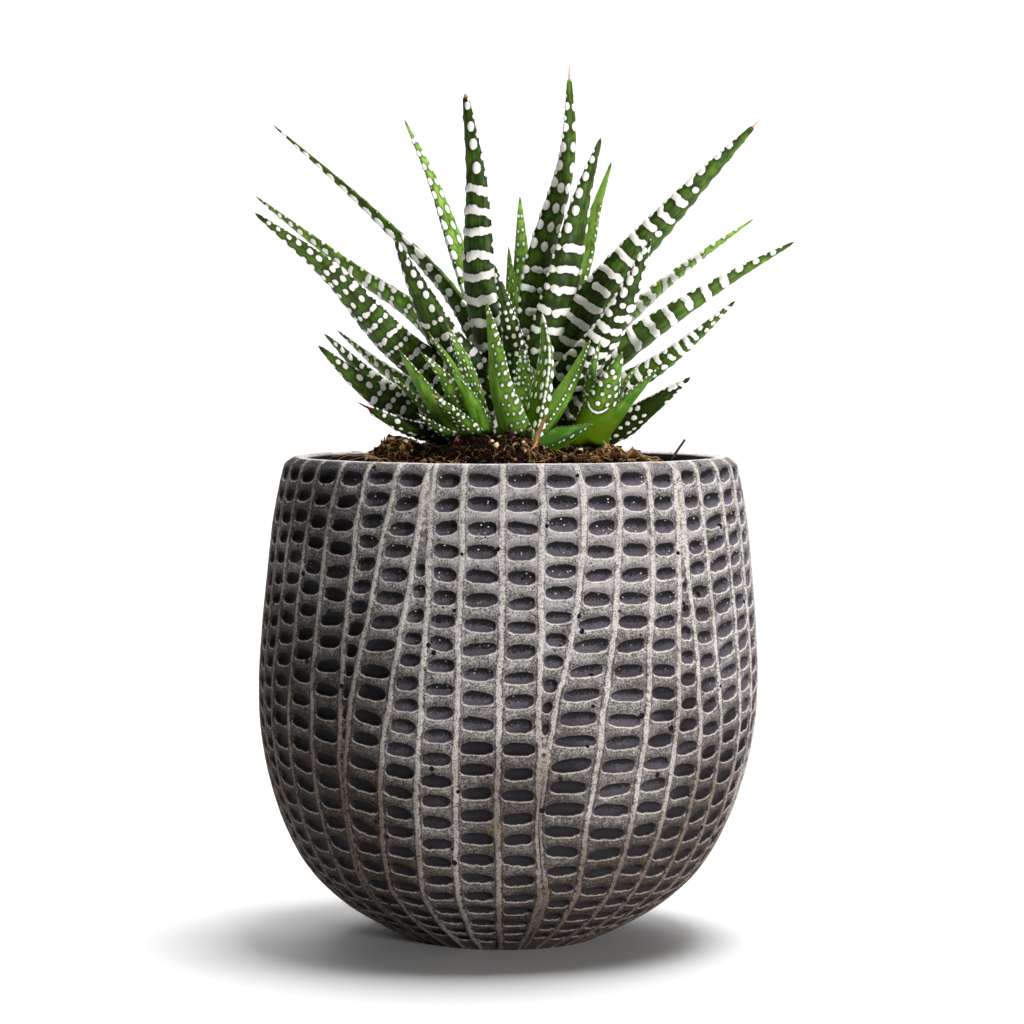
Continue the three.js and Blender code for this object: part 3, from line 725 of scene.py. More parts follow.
def arch_field(distance, across):
    """How far a point lies inside the shallow arch over its column's first pit, in millimetres."""
    return STRIP_TOP + ARCH_RISE - ARCH_DROP * np.abs(across) ** 3 - distance


def natural_tilt(degrees, distance):
    """The pits of the right half rise to the right, and low on the left half they fall to the right."""
    angle = (degrees + 90) % 180 - 90
    right = 8 * smooth_share(angle, 38, 58)
    left = -8 * smooth_share(-angle, 15, 32) * smooth_share(-distance, -100, -75)
    return right + left


def build_strip(column, left, right, settings):
    """One column of pits between two ribs: rows of points with their depth and fields, from the top down."""
    rib_half = settings.rib_width / MM / 2
    blank = np.zeros(POINTS_ACROSS)
    rows = []

    def widths(distance):
        """The width between two ribs, and half of what their feet leave free."""
        width = np.radians(right(distance) - left(distance)) * WALL.at(distance)[..., 0]
        return width, width / 2 - np.minimum(rib_half, RIB_FOOT_SHARE * width)

    def add_row(distance, across, depth, pit, floor, arch):
        width, half = widths(distance)
        from_middle = np.degrees(across * half / WALL.at(distance)[..., 0])
        degrees = (left(distance) + right(distance)) / 2 + from_middle
        closed = 1 - smooth_share(width, NARROWEST_STRIP, 5.0)
        rib = np.maximum(0.3 * (np.abs(across) > 0.99), 0.5 * closed)
        rows.append(dict(
            distance=distance, degrees=degrees, depth=depth, pit=pit, floor=floor, arch=arch, rib=rib))

    def add_plain(distance):
        arched = distance > STRIP_TOP - 8 and widths(distance)[0] > ARCH_LEAST_WIDTH
        arch = arch_field(distance, EVEN_PLACES) if arched else blank + NO_PIT
        depth = ARCH_DEPTH * smooth_share(arch, 0.0, 0.9)
        add_row(blank + distance, EVEN_PLACES, depth, blank + NO_PIT, blank, arch)

    add_plain(STRIP_TOP)
    reached = STRIP_TOP
    for number, pit in enumerate(pit_column(column, settings)):
        width, half_strip = (float(value) for value in widths(pit["place"]))
        fullness = float(smooth_share(width, NARROWEST_STRIP, FULL_STRIP))
        if fullness < 0.08:
            continue
        above_pit = pit["place"] + pit["half"] + 1.0
        while reached - above_pit > PLAIN_STEP:
            reached -= PLAIN_STEP * 0.8
            add_plain(reached)
        pit_half_width = min(pit["width"] * width / 2, 0.95 * half_strip)
        edge = pit_half_width / half_strip
        right_places = [0.5 * edge, edge - 0.09, min(edge + 0.045, 0.98), 1]
        across = np.array([-place for place in right_places[::-1]] + [0] + right_places)
        sideways = across * half_strip
        reach = sideways / pit_half_width
        half = pit["half"] * (0.72 + 0.28 * fullness)
        middle = float(left(pit["place"]) + right(pit["place"])) / 2
        slope = math.tan(math.radians(pit["tilt"] + float(natural_tilt(middle, pit["place"]))))
        for up, lip in pit_lines(pit, half, reach):
            inside = pit_field(pit, half, reach, up)
            floor = np.clip(up / half, -1, 1)
            sunk = smooth_share(inside, -0.02, PIT_EDGE) * (0.5 + 0.5 * smooth_share(floor, -0.9, 0.6))
            crest = lip * np.clip(1.25 - np.abs(reach), 0, 1) ** 0.5
            depth = pit["depth"] * fullness * sunk - LIP_RISE * crest
            in_arch = (number == 0) & (up > 0) & (np.abs(across) < 0.99)
            add_row(pit["place"] + up + sideways * slope, across, depth, inside, floor,
                    np.where(in_arch, 1.0, NO_PIT))
        reached = float(np.min(rows[-1]["distance"]))
    while reached - STRIP_FOOT > PLAIN_STEP:
        reached -= PLAIN_STEP
        add_plain(reached)
    add_plain(STRIP_FOOT)
    for upper, lower in zip(rows, rows[1:]):  # a row never passes the one above it
        lower["distance"] = np.minimum(lower["distance"], upper["distance"] - 0.02)
    return rows


def add_crest(parts, places, rib, settings):
    """Adds the points along the crest of a rib and gives their numbers."""
    rough = CREST_ROUGHNESS * noise_at(wall_place(places, rib(places), 0.0), 3.0, 1)
    depth = WALL_INSET + 0.06 - settings.rib_rise / MM + rough
    start = parts.add(wall_place(places, rib(places), depth), [], **{**PLAIN_WALL, "rib": 1.0})
    return range(start, parts.count)


def add_strip(parts, rows):
    """Adds the rows of a strip and gives the numbers of their points, row by row."""
    fields = {key: np.concatenate([row[key] for row in rows]) for key in rows[0]}
    distance, degrees, depth = (fields.pop(key) for key in ("distance", "degrees", "depth"))
    flat = wall_place(distance, degrees, WALL_INSET)
    rough = noise_at(flat, 4.5, 2) * 0.1 + noise_at(flat, 1.6, 3) * 0.04
    between_ribs = np.tile(np.abs(EVEN_PLACES) < 1, len(rows))
    depth = WALL_INSET + depth + np.maximum(rough, -0.12) * between_ribs
    faces = [face[::-1] for face in grid_faces(len(rows), POINTS_ACROSS, closed=False)]
    start = parts.add(wall_place(distance, degrees, depth), faces, **{**PLAIN_WALL, **fields})
    return [range(first, first + POINTS_ACROSS) for first in range(start, parts.count, POINTS_ACROSS)]


def zip_lines(a_places, b_places, a_numbers, b_numbers):
    """Triangles between two lines of points that both run down the wall. Line a is on the left."""
    triangles = []
    i = j = 0
    while i < len(a_places) - 1 or j < len(b_places) - 1:
        a_ended = i == len(a_places) - 1
        b_ended = j == len(b_places) - 1
        if not a_ended and (b_ended or a_places[i + 1] > b_places[j + 1]):
            triangles.append((a_numbers[i], a_numbers[i + 1], b_numbers[j]))
            i += 1
        else:
            triangles.append((a_numbers[i], b_numbers[j + 1], b_numbers[j]))
            j += 1
    return triangles


def build_pot(settings):
    """The ribs and the strips of pits between them, then the lip, the inside and the foot."""
    rib_count = 2 * len(RIB_COURSES)
    ribs = [rib_line(rib) for rib in range(rib_count)]
    ribs.append(lambda distance: ribs[0](distance) + 360)
    crest_places = np.append(np.arange(STRIP_TOP, STRIP_FOOT + CREST_STEP / 2, -CREST_STEP), STRIP_FOOT)
    parts = MeshParts()
    crests, strips, strip_numbers = [], [], []
    for i in range(rib_count):
        crests.append(add_crest(parts, crest_places, ribs[i], settings))
        strips.append(build_strip(i, ribs[i], ribs[i + 1], settings))
        strip_numbers.append(add_strip(parts, strips[i]))
    for i in range(rib_count):
        left_places, right_places = ([row["distance"][end] for row in strips[i]] for end in (0, -1))
        left_numbers, right_numbers = ([row[end] for row in strip_numbers[i]] for end in (0, -1))
        parts.faces += zip_lines(crest_places, left_places, crests[i], left_numbers)
        parts.faces += zip_lines(right_places, crest_places, right_numbers, crests[(i + 1) % rib_count])

    def end_ring(end):
        ring = []
        for crest, numbers in zip(crests, strip_numbers):
            ring += [crest[end], *numbers[end]]
        return ring

    top_ring, foot_ring = end_ring(0), end_ring(-1)
    wall = np.vstack(parts.points)
    top, foot = wall[top_ring], wall[foot_ring]
    degrees = np.degrees(np.arctan2(top[:, 0] - lean_at(POT_HEIGHT), -top[:, 1]))
    around = np.zeros(len(degrees))

    # The lip, from the wall's top over to the mouth, then the inside down to the floor
    lip_start = [WALL.at(STRIP_TOP), WALL.at(STRIP_TOP + LIP_STEPS[0])]
    lip_line = Line(lip_start + LIP_OUTLINE, power=0.5, mirrored=True)
    rib_share = np.array(([1.0, 0.6] + [0.0] * 7 + [0.6]) * rib_count)
    ring = top_ring
    for k, step in enumerate(LIP_STEPS):
        ribbed = k < RIBBED_LIP_RINGS
        radius, height = lip_line.at(min(step, lip_line.length))
        level = turned(radius, height, degrees)
        wave = noise_at(level * (1, 1, 0), 9, 4) * 0.2 + noise_at(level, 2.2, 5) * 0.08
        settle = np.maximum(wave, -0.1) + 0.12
        sunk = 0.3 * (1 - rib_share) * ribbed
        points = turned(radius - sunk - 0.35 * settle, height - 0.55 * settle, degrees)
        arch = np.concatenate([[NO_PIT, *(rows[0]["arch"] - step)] for rows in strips])
        ring = parts.add_ring(
            points, ring, pit=NO_PIT, floor=0.0, arch=np.maximum(arch, NO_PIT), rib=rib_share * ribbed,
            rim=0.5 * rib_share if ribbed else 0.9, inside=float(smooth_share(step, 4.9, 6.2)))
    inside_wall = {**PLAIN_WALL, "inside": 1.0}
    for level in INSIDE_LEVELS:
        ring = parts.add_ring(wall_place(around + level, degrees, WALL_THICKNESS), ring, **inside_wall)
    ring = parts.add_ring(turned(around + INSIDE_FLOOR_RADIUS, FLOOR_THICKNESS, degrees), ring, **inside_wall)
    parts.close_ring(ring, turned(0, FLOOR_THICKNESS, 0), **inside_wall)

    foot_degrees = np.degrees(np.arctan2(foot[:, 0], -foot[:, 1]))
    sole = parts.add_ring(turned(around + WALL_OUTLINE[0][0], 0.0, foot_degrees), **PLAIN_WALL)
    parts.join_rings(sole, foot_ring)
    parts.close_ring(sole[::-1], turned(0, 0.0, 0), **PLAIN_WALL)
    seat(parts.piece("ribbed_pot", cement_finish(settings)), "cement", "pot")


def cement_finish(settings):
    """Speckled cement with worn pale ribs, pale pit lips with a painted highlight, dark glazed pits with
    painted shade under their upper edges, and scattered pinholes.
    """
    finish = Finish("speckled_cement", Specular_IOR_Level=0.14)
    pit, floor, arch, rib, rim, inside = (finish.value(name) for name in PLAIN_WALL)
    across, _, height = finish.add("ShaderNodeSeparateXYZ", {0: finish.place}).outputs
    speck = finish.noise(0.4, detail=3, roughness=0.75)
    grain = finish.noise(0.2, detail=1)
    blotch = finish.noise(1.5, detail=2, roughness=0.6)
    mottle = finish.noise(5, detail=4, roughness=0.65)
    patch = finish.noise(30, detail=2)
    speckled = finish.total(finish.product(speck, 0.8), finish.product(blotch, 0.2))

    # The wall: specks, a chalky bloom towards the mouth, and mottled glazing in the arches over the first
    # pits. The bloom is strongest at the front and weak on the left, which is painted light.
    body = finish.ramp(
        speckled, (0.34, settings.speck_dark), (0.5, settings.body), (0.7, settings.speck_light))
    bloom_and_light = finish.product(
        finish.spread(height, 0.05, 0.12, 0.1, 0.6), finish.spread(across, -0.05, 0.0, 0.3, 1.0),
        finish.spread(across, 0.02, 0.05, 1.2, 0.85))
    bloom_and_light = finish.total(
        bloom_and_light, finish.ripple(mottle, 0.3, 0.35, 0.65), finish.spread(speckled, 0.4, 0.6, -0.4, 0.3))
    body = finish.mix(finish.spread(bloom_and_light, 0.0, 0.8, 0.0, 0.52), body, settings.chalk)
    arched = finish.product(
        finish.spread(finish.total(arch, finish.ripple(blotch, 0.5)), 0.0, 0.5),
        finish.spread(across, -0.03, 0.04, 0.85, 0.4))
    mottled = finish.ramp(speckled, (0.4, settings.pit_top), (0.5, settings.pit_low), (0.58, settings.body),
                          (0.68, settings.lip))
    body = finish.mix(arched, body, mottled)

    # Painted shade darkens the wall at the sides of the ribs and towards the pit under it. The ribs and the
    # rim are worn pale.
    rib_side_shade = finish.product(finish.spread(rib, 0.0, 0.18), finish.spread(rib, 0.3, 0.42, 1.0, 0.0), 0.5)
    body = finish.mix(rib_side_shade, body, settings.speck_dark)
    shaded = finish.product(finish.spread(floor, -0.5, 1.0, 0.0, 0.5), finish.spread(rim, 0.0, 0.4, 1.0, 0.0))
    body = finish.mix(shaded, body, settings.speck_dark)
    worn = finish.mix(finish.spread(speckled, 0.38, 0.55), settings.body, settings.rib)
    ragged = finish.total(rib, finish.ripple(blotch, 0.16, 0.35, 0.65), finish.ripple(mottle, 0.12))
    colour = finish.mix(finish.spread(ragged, 0.28, 0.6, 0.0, 0.95), body, worn)
    chalky = finish.mix(finish.spread(speckled, 0.34, 0.54, 0.12, 1.0), settings.body, settings.lip)
    rim_share = finish.spread(finish.total(rim, finish.spread(mottle, 0.3, 0.7, -0.35, 0.15)), 0.2, 0.8)
    colour = finish.mix(rim_share, colour, chalky)

    # Darker and browner towards the foot and on the left: a brown stain together with painted shade
    shade_and_stain = finish.total(
        finish.spread(height, 0.01, 0.09, 1.0, 0.0), finish.spread(across, -0.06, -0.01, 0.6, 0.0),
        finish.ripple(patch, 0.3, 0.35, 0.65))
    shade_and_stain = finish.math("SUBTRACT", shade_and_stain, rim)
    stained_and_shaded = finish.mix(1.0, colour, settings.brown, "MULTIPLY")
    colour = finish.mix(finish.spread(shade_and_stain, 0.0, 1.2, 0.0, 0.9), colour, stained_and_shaded)

    # The pits: dark glazing, near black under the upper edge as painted shade and lighter down the floor
    # where light falls, a few painted glints, and the pale worn edge under each pit, brightened as a painted
    # highlight
    edge = finish.total(pit, finish.ripple(blotch, 0.1), finish.ripple(speck, 0.04))
    in_pit = finish.spread(edge, 0.0, 0.16)
    level = finish.total(finish.spread(floor, -1, 1), finish.ripple(speckled, -0.22, 0.38, 0.62))
    glaze_and_shade = finish.ramp(level, (0.0, settings.pit_low), (0.16, settings.pit_low), (0.68, settings.pit_top))
    # Painted glints: small spots of the lip colour in the pits, fewer towards the foot
    glint_distance, glint_colour = finish.spots(0.8)
    painted_glint = finish.product(
        finish.math("LESS_THAN", glint_distance, 0.22), finish.math("GREATER_THAN", glint_colour, 0.76),
        finish.spread(height, 0.05, 0.11, 0.15, 1.0))
    glaze_and_shade = finish.mix(painted_glint, glaze_and_shade, settings.lip)
    # Painted shade darkens the pits towards the foot and on the left
    glaze_and_shade = finish.mix(finish.spread(shade_and_stain, -0.1, 0.7, 0.0, 0.96), glaze_and_shade, settings.pit_top)
    colour = finish.mix(in_pit, colour, glaze_and_shade)
    # The pale worn lip under each pit, brightened further as a painted highlight where light catches it, and
    # dimmer towards the foot
    lip_and_highlight = finish.product(
        finish.spread(edge, -0.36, -0.14), finish.spread(edge, 0.02, 0.12, 1.0, 0.0),
        finish.spread(floor, -0.95, -0.2, 1.0, 0.0), finish.spread(speckled, 0.38, 0.56, 0.3, 1.0),
        finish.spread(height, 0.0, 0.08, 0.5, 1.0), 0.95)
    tinted = finish.mix(finish.spread(shade_and_stain, 0.0, 1.2, 0.0, 0.45), settings.lip, settings.brown)
    colour = finish.mix(lip_and_highlight, colour, finish.mix(1.0, settings.lip, tinted, "MULTIPLY"))

    # Pinholes, which the smooth inside doesn't have
    hole_distance, hole_colour = finish.spots(5)
    hole_size = finish.spread(hole_colour, 0.25, 1.0, 0.0, 0.19)
    hole_edge = finish.total(hole_distance, finish.ripple(grain, 0.015))
    hole = finish.spread(finish.math("SUBTRACT", hole_size, hole_edge), 0.0, 0.012)
    hole = finish.math("MULTIPLY", hole, finish.math("SUBTRACT", 1.0, inside), clamp=True)
    colour = finish.mix(hole, colour, settings.pit_top)
    # The inside of the mouth is near black, which is painted shade
    finish.colour(finish.mix(finish.spread(inside, 0.2, 0.8), colour, settings.inside))
    finish.rough(finish.spread(in_pit, 0, 1, 0.86, 0.5))
    relief = finish.total(finish.product(speckled, 0.8), finish.product(grain, 0.2))
    finish.relief(finish.math("SUBTRACT", relief, finish.product(hole, 2.5)), 0.4, 0.8)
    return finish.material


# Soil

SOIL_RINGS = 110
SOIL_SEGMENTS = 300
LOOSE_REACH = 0.96  # of the mouth's radius: loose pieces lie within it
FIBRE_TAPER = np.array([0.7, 1, 1, 1, 1, 1, 1, 0.8, 0.4])  # of a fibre's radius, at the points along it
ROOT_POINTS = 24
FLAKE_OUTLINE = [(-0.5, -0.2), (-0.1, -0.5), (0.4, -0.35), (0.5, 0.1), (0.1, 0.5), (-0.35, 0.4)]
FLAKE_THICKNESS = 0.2

# Where dark, brown and tan peat lie on the scale from moist to dry, and the share of it that noise makes
PEAT_SCALES = {
    "moist_peat": (0.38, 0.6, 0.85, 1.0), "peat_crumb": (0.36, 0.6, 0.86, 0.45),
    "peat_fibre": (0.34, 0.5, 0.74, 0.45), "bark_flake": (0.34, 0.5, 0.74, 0.45),
}


def soil_height(x, y):
    """The frame's soil surface: a mound with a few clumps and low waves."""
    reach = np.hypot(x - RIM_LEAN, y) / MOUTH_RADIUS
    height = SOIL_EDGE_HEIGHT + SOIL_MOUND_RISE * (1 - reach ** 2.4)
    for clump_x, clump_y, radius, rise in SOIL_CLUMPS:
        near = ((x - clump_x) ** 2 + (y - clump_y) ** 2) / radius ** 2
        height = height + rise * np.exp(-near) * np.maximum(0, 1 - reach ** 6)
    lumps = np.sin(x * 0.55 + 1) * np.sin(y * 0.6) + 0.6 * np.sin(x * 0.9 - y * 0.8)
    return height + 0.6 * lumps * np.maximum(0, 1 - reach ** 4)


def dryness(x, y):
    """How much drier the peat is at a place than elsewhere."""
    return sum(change * np.exp(-((x - dry_x) ** 2 + (y - dry_y) ** 2) / radius ** 2)
               for dry_x, dry_y, radius, change in DRY_PLACES)


def build_soil(settings):
    """The mound of peat, and the loose pieces that lie on it."""
    degrees = np.linspace(0, 360, SOIL_SEGMENTS, endpoint=False)
    around = np.zeros(SOIL_SEGMENTS)
    foot_height = FLOOR_THICKNESS + SEAT_GAP
    rings = [turned(around + INSIDE_FLOOR_RADIUS - 1, foot_height, degrees)]
    rings += [wall_place(around + level, degrees, WALL_THICKNESS + SEAT_GAP) for level in INSIDE_LEVELS[::-1]]
    for share in np.linspace(0.99, 0.01, SOIL_RINGS):
        ring = turned(around + share * (MOUTH_RADIUS - 0.5), SOIL_EDGE_HEIGHT, degrees)
        flat = ring * (1, 1, 0)
        rough = noise_at(flat, 5, 6) * 0.55 + noise_at(flat, 2, 7) * 0.35 + noise_at(flat, 0.9, 8) * 0.2
        ring[:, 2] = soil_height(ring[:, 0], ring[:, 1]) + rough * min(1, (1 - share) * 12)
        rings.append(ring)
    points = np.vstack(rings)
    faces = grid_faces(len(rings), SOIL_SEGMENTS, closed=True)
    parts = MeshParts()
    parts.add(points, faces, shade=dryness(points[:, 0], points[:, 1]))
    last_ring = range(len(points) - SOIL_SEGMENTS, len(points))
    parts.close_ring(last_ring, (RIM_LEAN, 0, soil_height(RIM_LEAN, 0)), shade=0)
    parts.close_ring(range(SOIL_SEGMENTS)[::-1], turned(0, foot_height, 0), shade=0)
    seat(parts.piece("peat_soil", peat_finish("moist_peat", settings)), "peat", "soil")

    for builder in (build_crumbs, build_fibres, build_flakes, build_grains):
        seat(builder(settings), "peat")


def soil_places(count, seed, clump_share=0.5):
    """Random places on the soil, of which a share lies on and round the clumps."""
    draw = np.random.default_rng(seed)
    places = []
    while len(places) < count:
        if draw.random() < clump_share:
            x, y, radius, _ = SOIL_CLUMPS[draw.integers(len(SOIL_CLUMPS))]
            x, y = draw.normal((x, y), radius * 0.55)
        else:
            radius = LOOSE_REACH * MOUTH_RADIUS * math.sqrt(draw.random())
            angle = draw.uniform(0, 2 * math.pi)
            x, y = RIM_LEAN + radius * math.cos(angle), radius * math.sin(angle)
        if math.hypot(x - RIM_LEAN, y) < LOOSE_REACH * (MOUTH_RADIUS - 1):
            places.append((x, y))
    return np.array(places), draw


def round_form(subdivisions):
    """Points and faces of a small sphere."""
    ball = bmesh.new()
    bmesh.ops.create_icosphere(ball, subdivisions=subdivisions, radius=1)
    points = np.array([vertex.co[:] for vertex in ball.verts])
    faces = [[vertex.index for vertex in face.verts] for face in ball.faces]
    ball.free()
    return points, faces


def lump(ball, roughness, squash, size, draw):
    """The sphere's points moved in and out, squashed along each axis, and scaled."""
    uneven = ball * (1 + draw.normal(0, roughness, (len(ball), 1)))
    return uneven * draw.uniform(*squash, 3) * size


def build_crumbs(settings):
    """Crumbs of peat, each an angular lump sunk a little into the soil."""
    ball, faces = round_form(1)
    places, draw = soil_places(settings.crumbs, 31)
    parts = MeshParts()
    for x, y in places:
        size = draw.uniform(0.22, 0.5) + 0.8 * draw.random() ** 5
        points = lump(ball, 0.28, (0.5, 1.3), size, draw)
        height = soil_height(x, y) + size * draw.uniform(-0.2, 0.5)
        parts.add(points + (x, y, height), faces, shade=draw.random() + dryness(x, y))
    return parts.piece("peat_crumbs", peat_finish("peat_crumb", settings), smooth=False)


def tube(route, radii, sides):
    """Points and faces of a closed tube along a route."""
    route = np.asarray(route, float)
    along = np.gradient(route, axis=0)
    along /= np.linalg.norm(along, axis=1)[:, None]
    upright = np.tile([0.0, 0.0, 1.0], (len(route), 1))
    upright[np.abs(along[:, 2]) > 0.9] = (1.0, 0.0, 0.0)
    side = np.cross(upright, along)
    side /= np.linalg.norm(side, axis=1)[:, None]
    up = np.cross(along, side)
    turn = np.linspace(0, 2 * math.pi, sides, endpoint=False)
    round_part = side[:, None] * np.cos(turn)[:, None] + up[:, None] * np.sin(turn)[:, None]
    points = route[:, None] + round_part * np.asarray(radii)[:, None, None]
    return points.reshape(-1, 3), capped_faces(len(route), sides)


def build_fibres(settings):
    """Curled fibres that lie on the soil, and a few long roots that reach towards the wall."""
    places, draw = soil_places(settings.fibres, 32, clump_share=0.6)
    steps = len(FIBRE_TAPER) - 1
    parts = MeshParts()
    for x, y in places:
        length = draw.uniform(2, 7) + 5 * draw.random() ** 4
        heading = draw.uniform(0, 2 * math.pi)
        curl = draw.normal(0, 0.35)
        lift = draw.uniform(0, 0.7)
        route = []
        for k in range(steps + 1):
            height = soil_height(x, y) + 0.1 + lift * math.sin(math.pi * k / steps) + draw.normal(0, 0.08)
            route.append((x, y, height))
            heading += curl + draw.normal(0, 0.25)
            x, y = x + length / steps * math.cos(heading), y + length / steps * math.sin(heading)
        route = np.array(route)
        if np.hypot(route[:, 0] - RIM_LEAN, route[:, 1]).max() > MOUTH_RADIUS - 1.6:
            continue
        points, faces = tube(route, draw.uniform(0.06, 0.15) * FIBRE_TAPER, 3)
        parts.add(points, faces, shade=draw.random() + dryness(x, y))
    for route in LONG_ROOTS:
        line = Line(route, power=0.5, mirrored=True)
        places = line.at(np.linspace(0, line.length, ROOT_POINTS))
        places[:, 0] += 1.6 * noise_at(places, 5, 9)
        places[:, 2] += 0.7 * noise_at(places, 3, 10)
        points, faces = tube(places, np.full(ROOT_POINTS, 0.09), 5)
        parts.add(points, faces, shade=1.1)
    return parts.piece("peat_fibres", peat_finish("peat_fibre", settings))


def build_flakes(settings):
    """Thin flakes of bark and dry leaf, tipped at random, and a few large ones."""
    places, draw = soil_places(settings.flakes, 33, clump_share=0.35)
    flakes = []
    for x, y in places:
        length, tip = draw.uniform(1.2, 3.4), draw.normal(0, 0.45)
        height = soil_height(x, y) + 0.3 + abs(math.sin(tip)) * length * 0.3
        turn, shade = draw.uniform(0, 2 * math.pi), draw.random() + dryness(x, y)
        flakes.append((x, y, height, length, draw.uniform(0.4, 1.1), turn, tip, shade))
    flakes += [(*size, math.radians(turn), math.radians(tip), 0.55) for *size, turn, tip in LARGE_FLAKES]
    sides = len(FLAKE_OUTLINE)
    parts = MeshParts()
    for x, y, height, length, width, turn, tip, shade in flakes:
        flat = np.array(FLAKE_OUTLINE) * (length, width) + draw.normal(0, 0.14, (sides, 2))
        bend = draw.normal(0, 0.35)
        upper = np.column_stack([flat, 0.12 + bend * flat[:, 0] ** 2 / length])
        points = np.vstack([upper - (0, 0, FLAKE_THICKNESS), upper])
        leaning = Matrix.Rotation(turn, 3, "Z") @ Matrix.Rotation(-tip, 3, "Y")
        points = points @ np.array(leaning).T + (x, y, height)
        parts.add(points, capped_faces(2, sides), shade=shade)
    return parts.piece("bark_flakes", peat_finish("bark_flake", settings))


def build_grains(settings):
    """Pale mineral grains."""
    ball, faces = round_form(2)
    places, draw = soil_places(settings.grains, 34, clump_share=0.3)
    parts = MeshParts()
    for x, y in places:
        size = draw.uniform(0.3, 0.85)
        points = lump(ball, 0.05, (0.75, 1.2), size, draw)
        parts.add(points + (x, y, soil_height(x, y) + 0.3 * size), faces, shade=draw.random())
    return parts.piece("pale_grains", grain_finish(settings))


def peat_finish(name, settings):
    """Peat: dark in its hollows, brown on top, and light tan where it is dry."""
    finish = Finish(name, Specular_IOR_Level=0.08)
    dark_at, brown_at, tan_at, noise_share = PEAT_SCALES[name]
    coarse = finish.noise(2.6, detail=4, roughness=0.65)
    fine = finish.noise(0.5, detail=2, roughness=0.6)
    level = finish.total(finish.product(coarse, 0.6), finish.product(fine, 0.4))
    level = finish.total(finish.product(level, noise_share), finish.product(finish.value("shade"), 0.6))
    finish.colour(finish.ramp(
        level, (dark_at, settings.dark), (brown_at, settings.brown), (tan_at, settings.tan)))
    finish.rough(finish.spread(fine, 0.3, 0.7, 0.75, 0.98))
    finish.relief(fine, 0.5, 0.9)
    return finish.material


def grain_finish(settings):
    """Cloudy pale stone."""
    finish = Finish("pale_grain", Specular_IOR_Level=0.4)
    cloud = finish.noise(0.4, detail=2)
    level = finish.total(finish.product(cloud, 0.5), finish.product(finish.value("shade"), 0.5))
    finish.colour(finish.ramp(level, (0.2, settings.tan), (0.55, settings.pale)))
    finish.rough(finish.spread(cloud, 0.3, 0.7, 0.5, 0.8))
    finish.relief(cloud, 0.2, 0.5)
    return finish.material


# Leaves

OUTER_STEPS = 30
INNER_STEPS = 10
INNER_CROWN = 0.3  # rise of the inner face, as a share of the outer face's depth
BARE = -2.0  # the value of the tubercle field away from any tubercle
SOFTNESS = 0.14  # how far neighbouring tubercles melt into each other
FIELD_REACH = 3.2  # a tubercle changes the field no further away than this
SKIN_ROUGHNESS = 0.1
TOOTH_PITCH = 1.15
TOOTH_RISE = 0.15
SWELL = 0.1  # how far the skin swells between two rows of tubercles
AWN = 2  # a dried tip that is longer than this is a thin awn
LATER_GIRTH = 8.5  # the later columns of dots start where the outer face is this far round
SMILE_SHARES = np.arange(-1, 1.01, 0.14)


def main_leaf_base(leaf):
    toward = np.array(leaf["midrib"][0][:2]) - CROWN
    toward = toward / np.linalg.norm(toward)
    return np.array([*(CROWN + LEAF_SEAT * toward), leaf["root"]])


def leaf_section(inner_steps):
    """The outline across a leaf, as side and up: the keeled outer face, then the flatter inner one."""
    outer = np.linspace(0, math.pi, OUTER_STEPS + 1)
    inner = np.linspace(0, math.pi, inner_steps + 1)[1:-1]
    side = np.concatenate([-np.cos(outer), np.cos(inner)])
    up = np.concatenate([-np.sin(outer) ** 0.9, INNER_CROWN * np.sin(inner) ** 1.4])
    is_inner = np.concatenate([np.zeros(len(outer)), np.ones(len(inner))])
    return side, up, is_inner


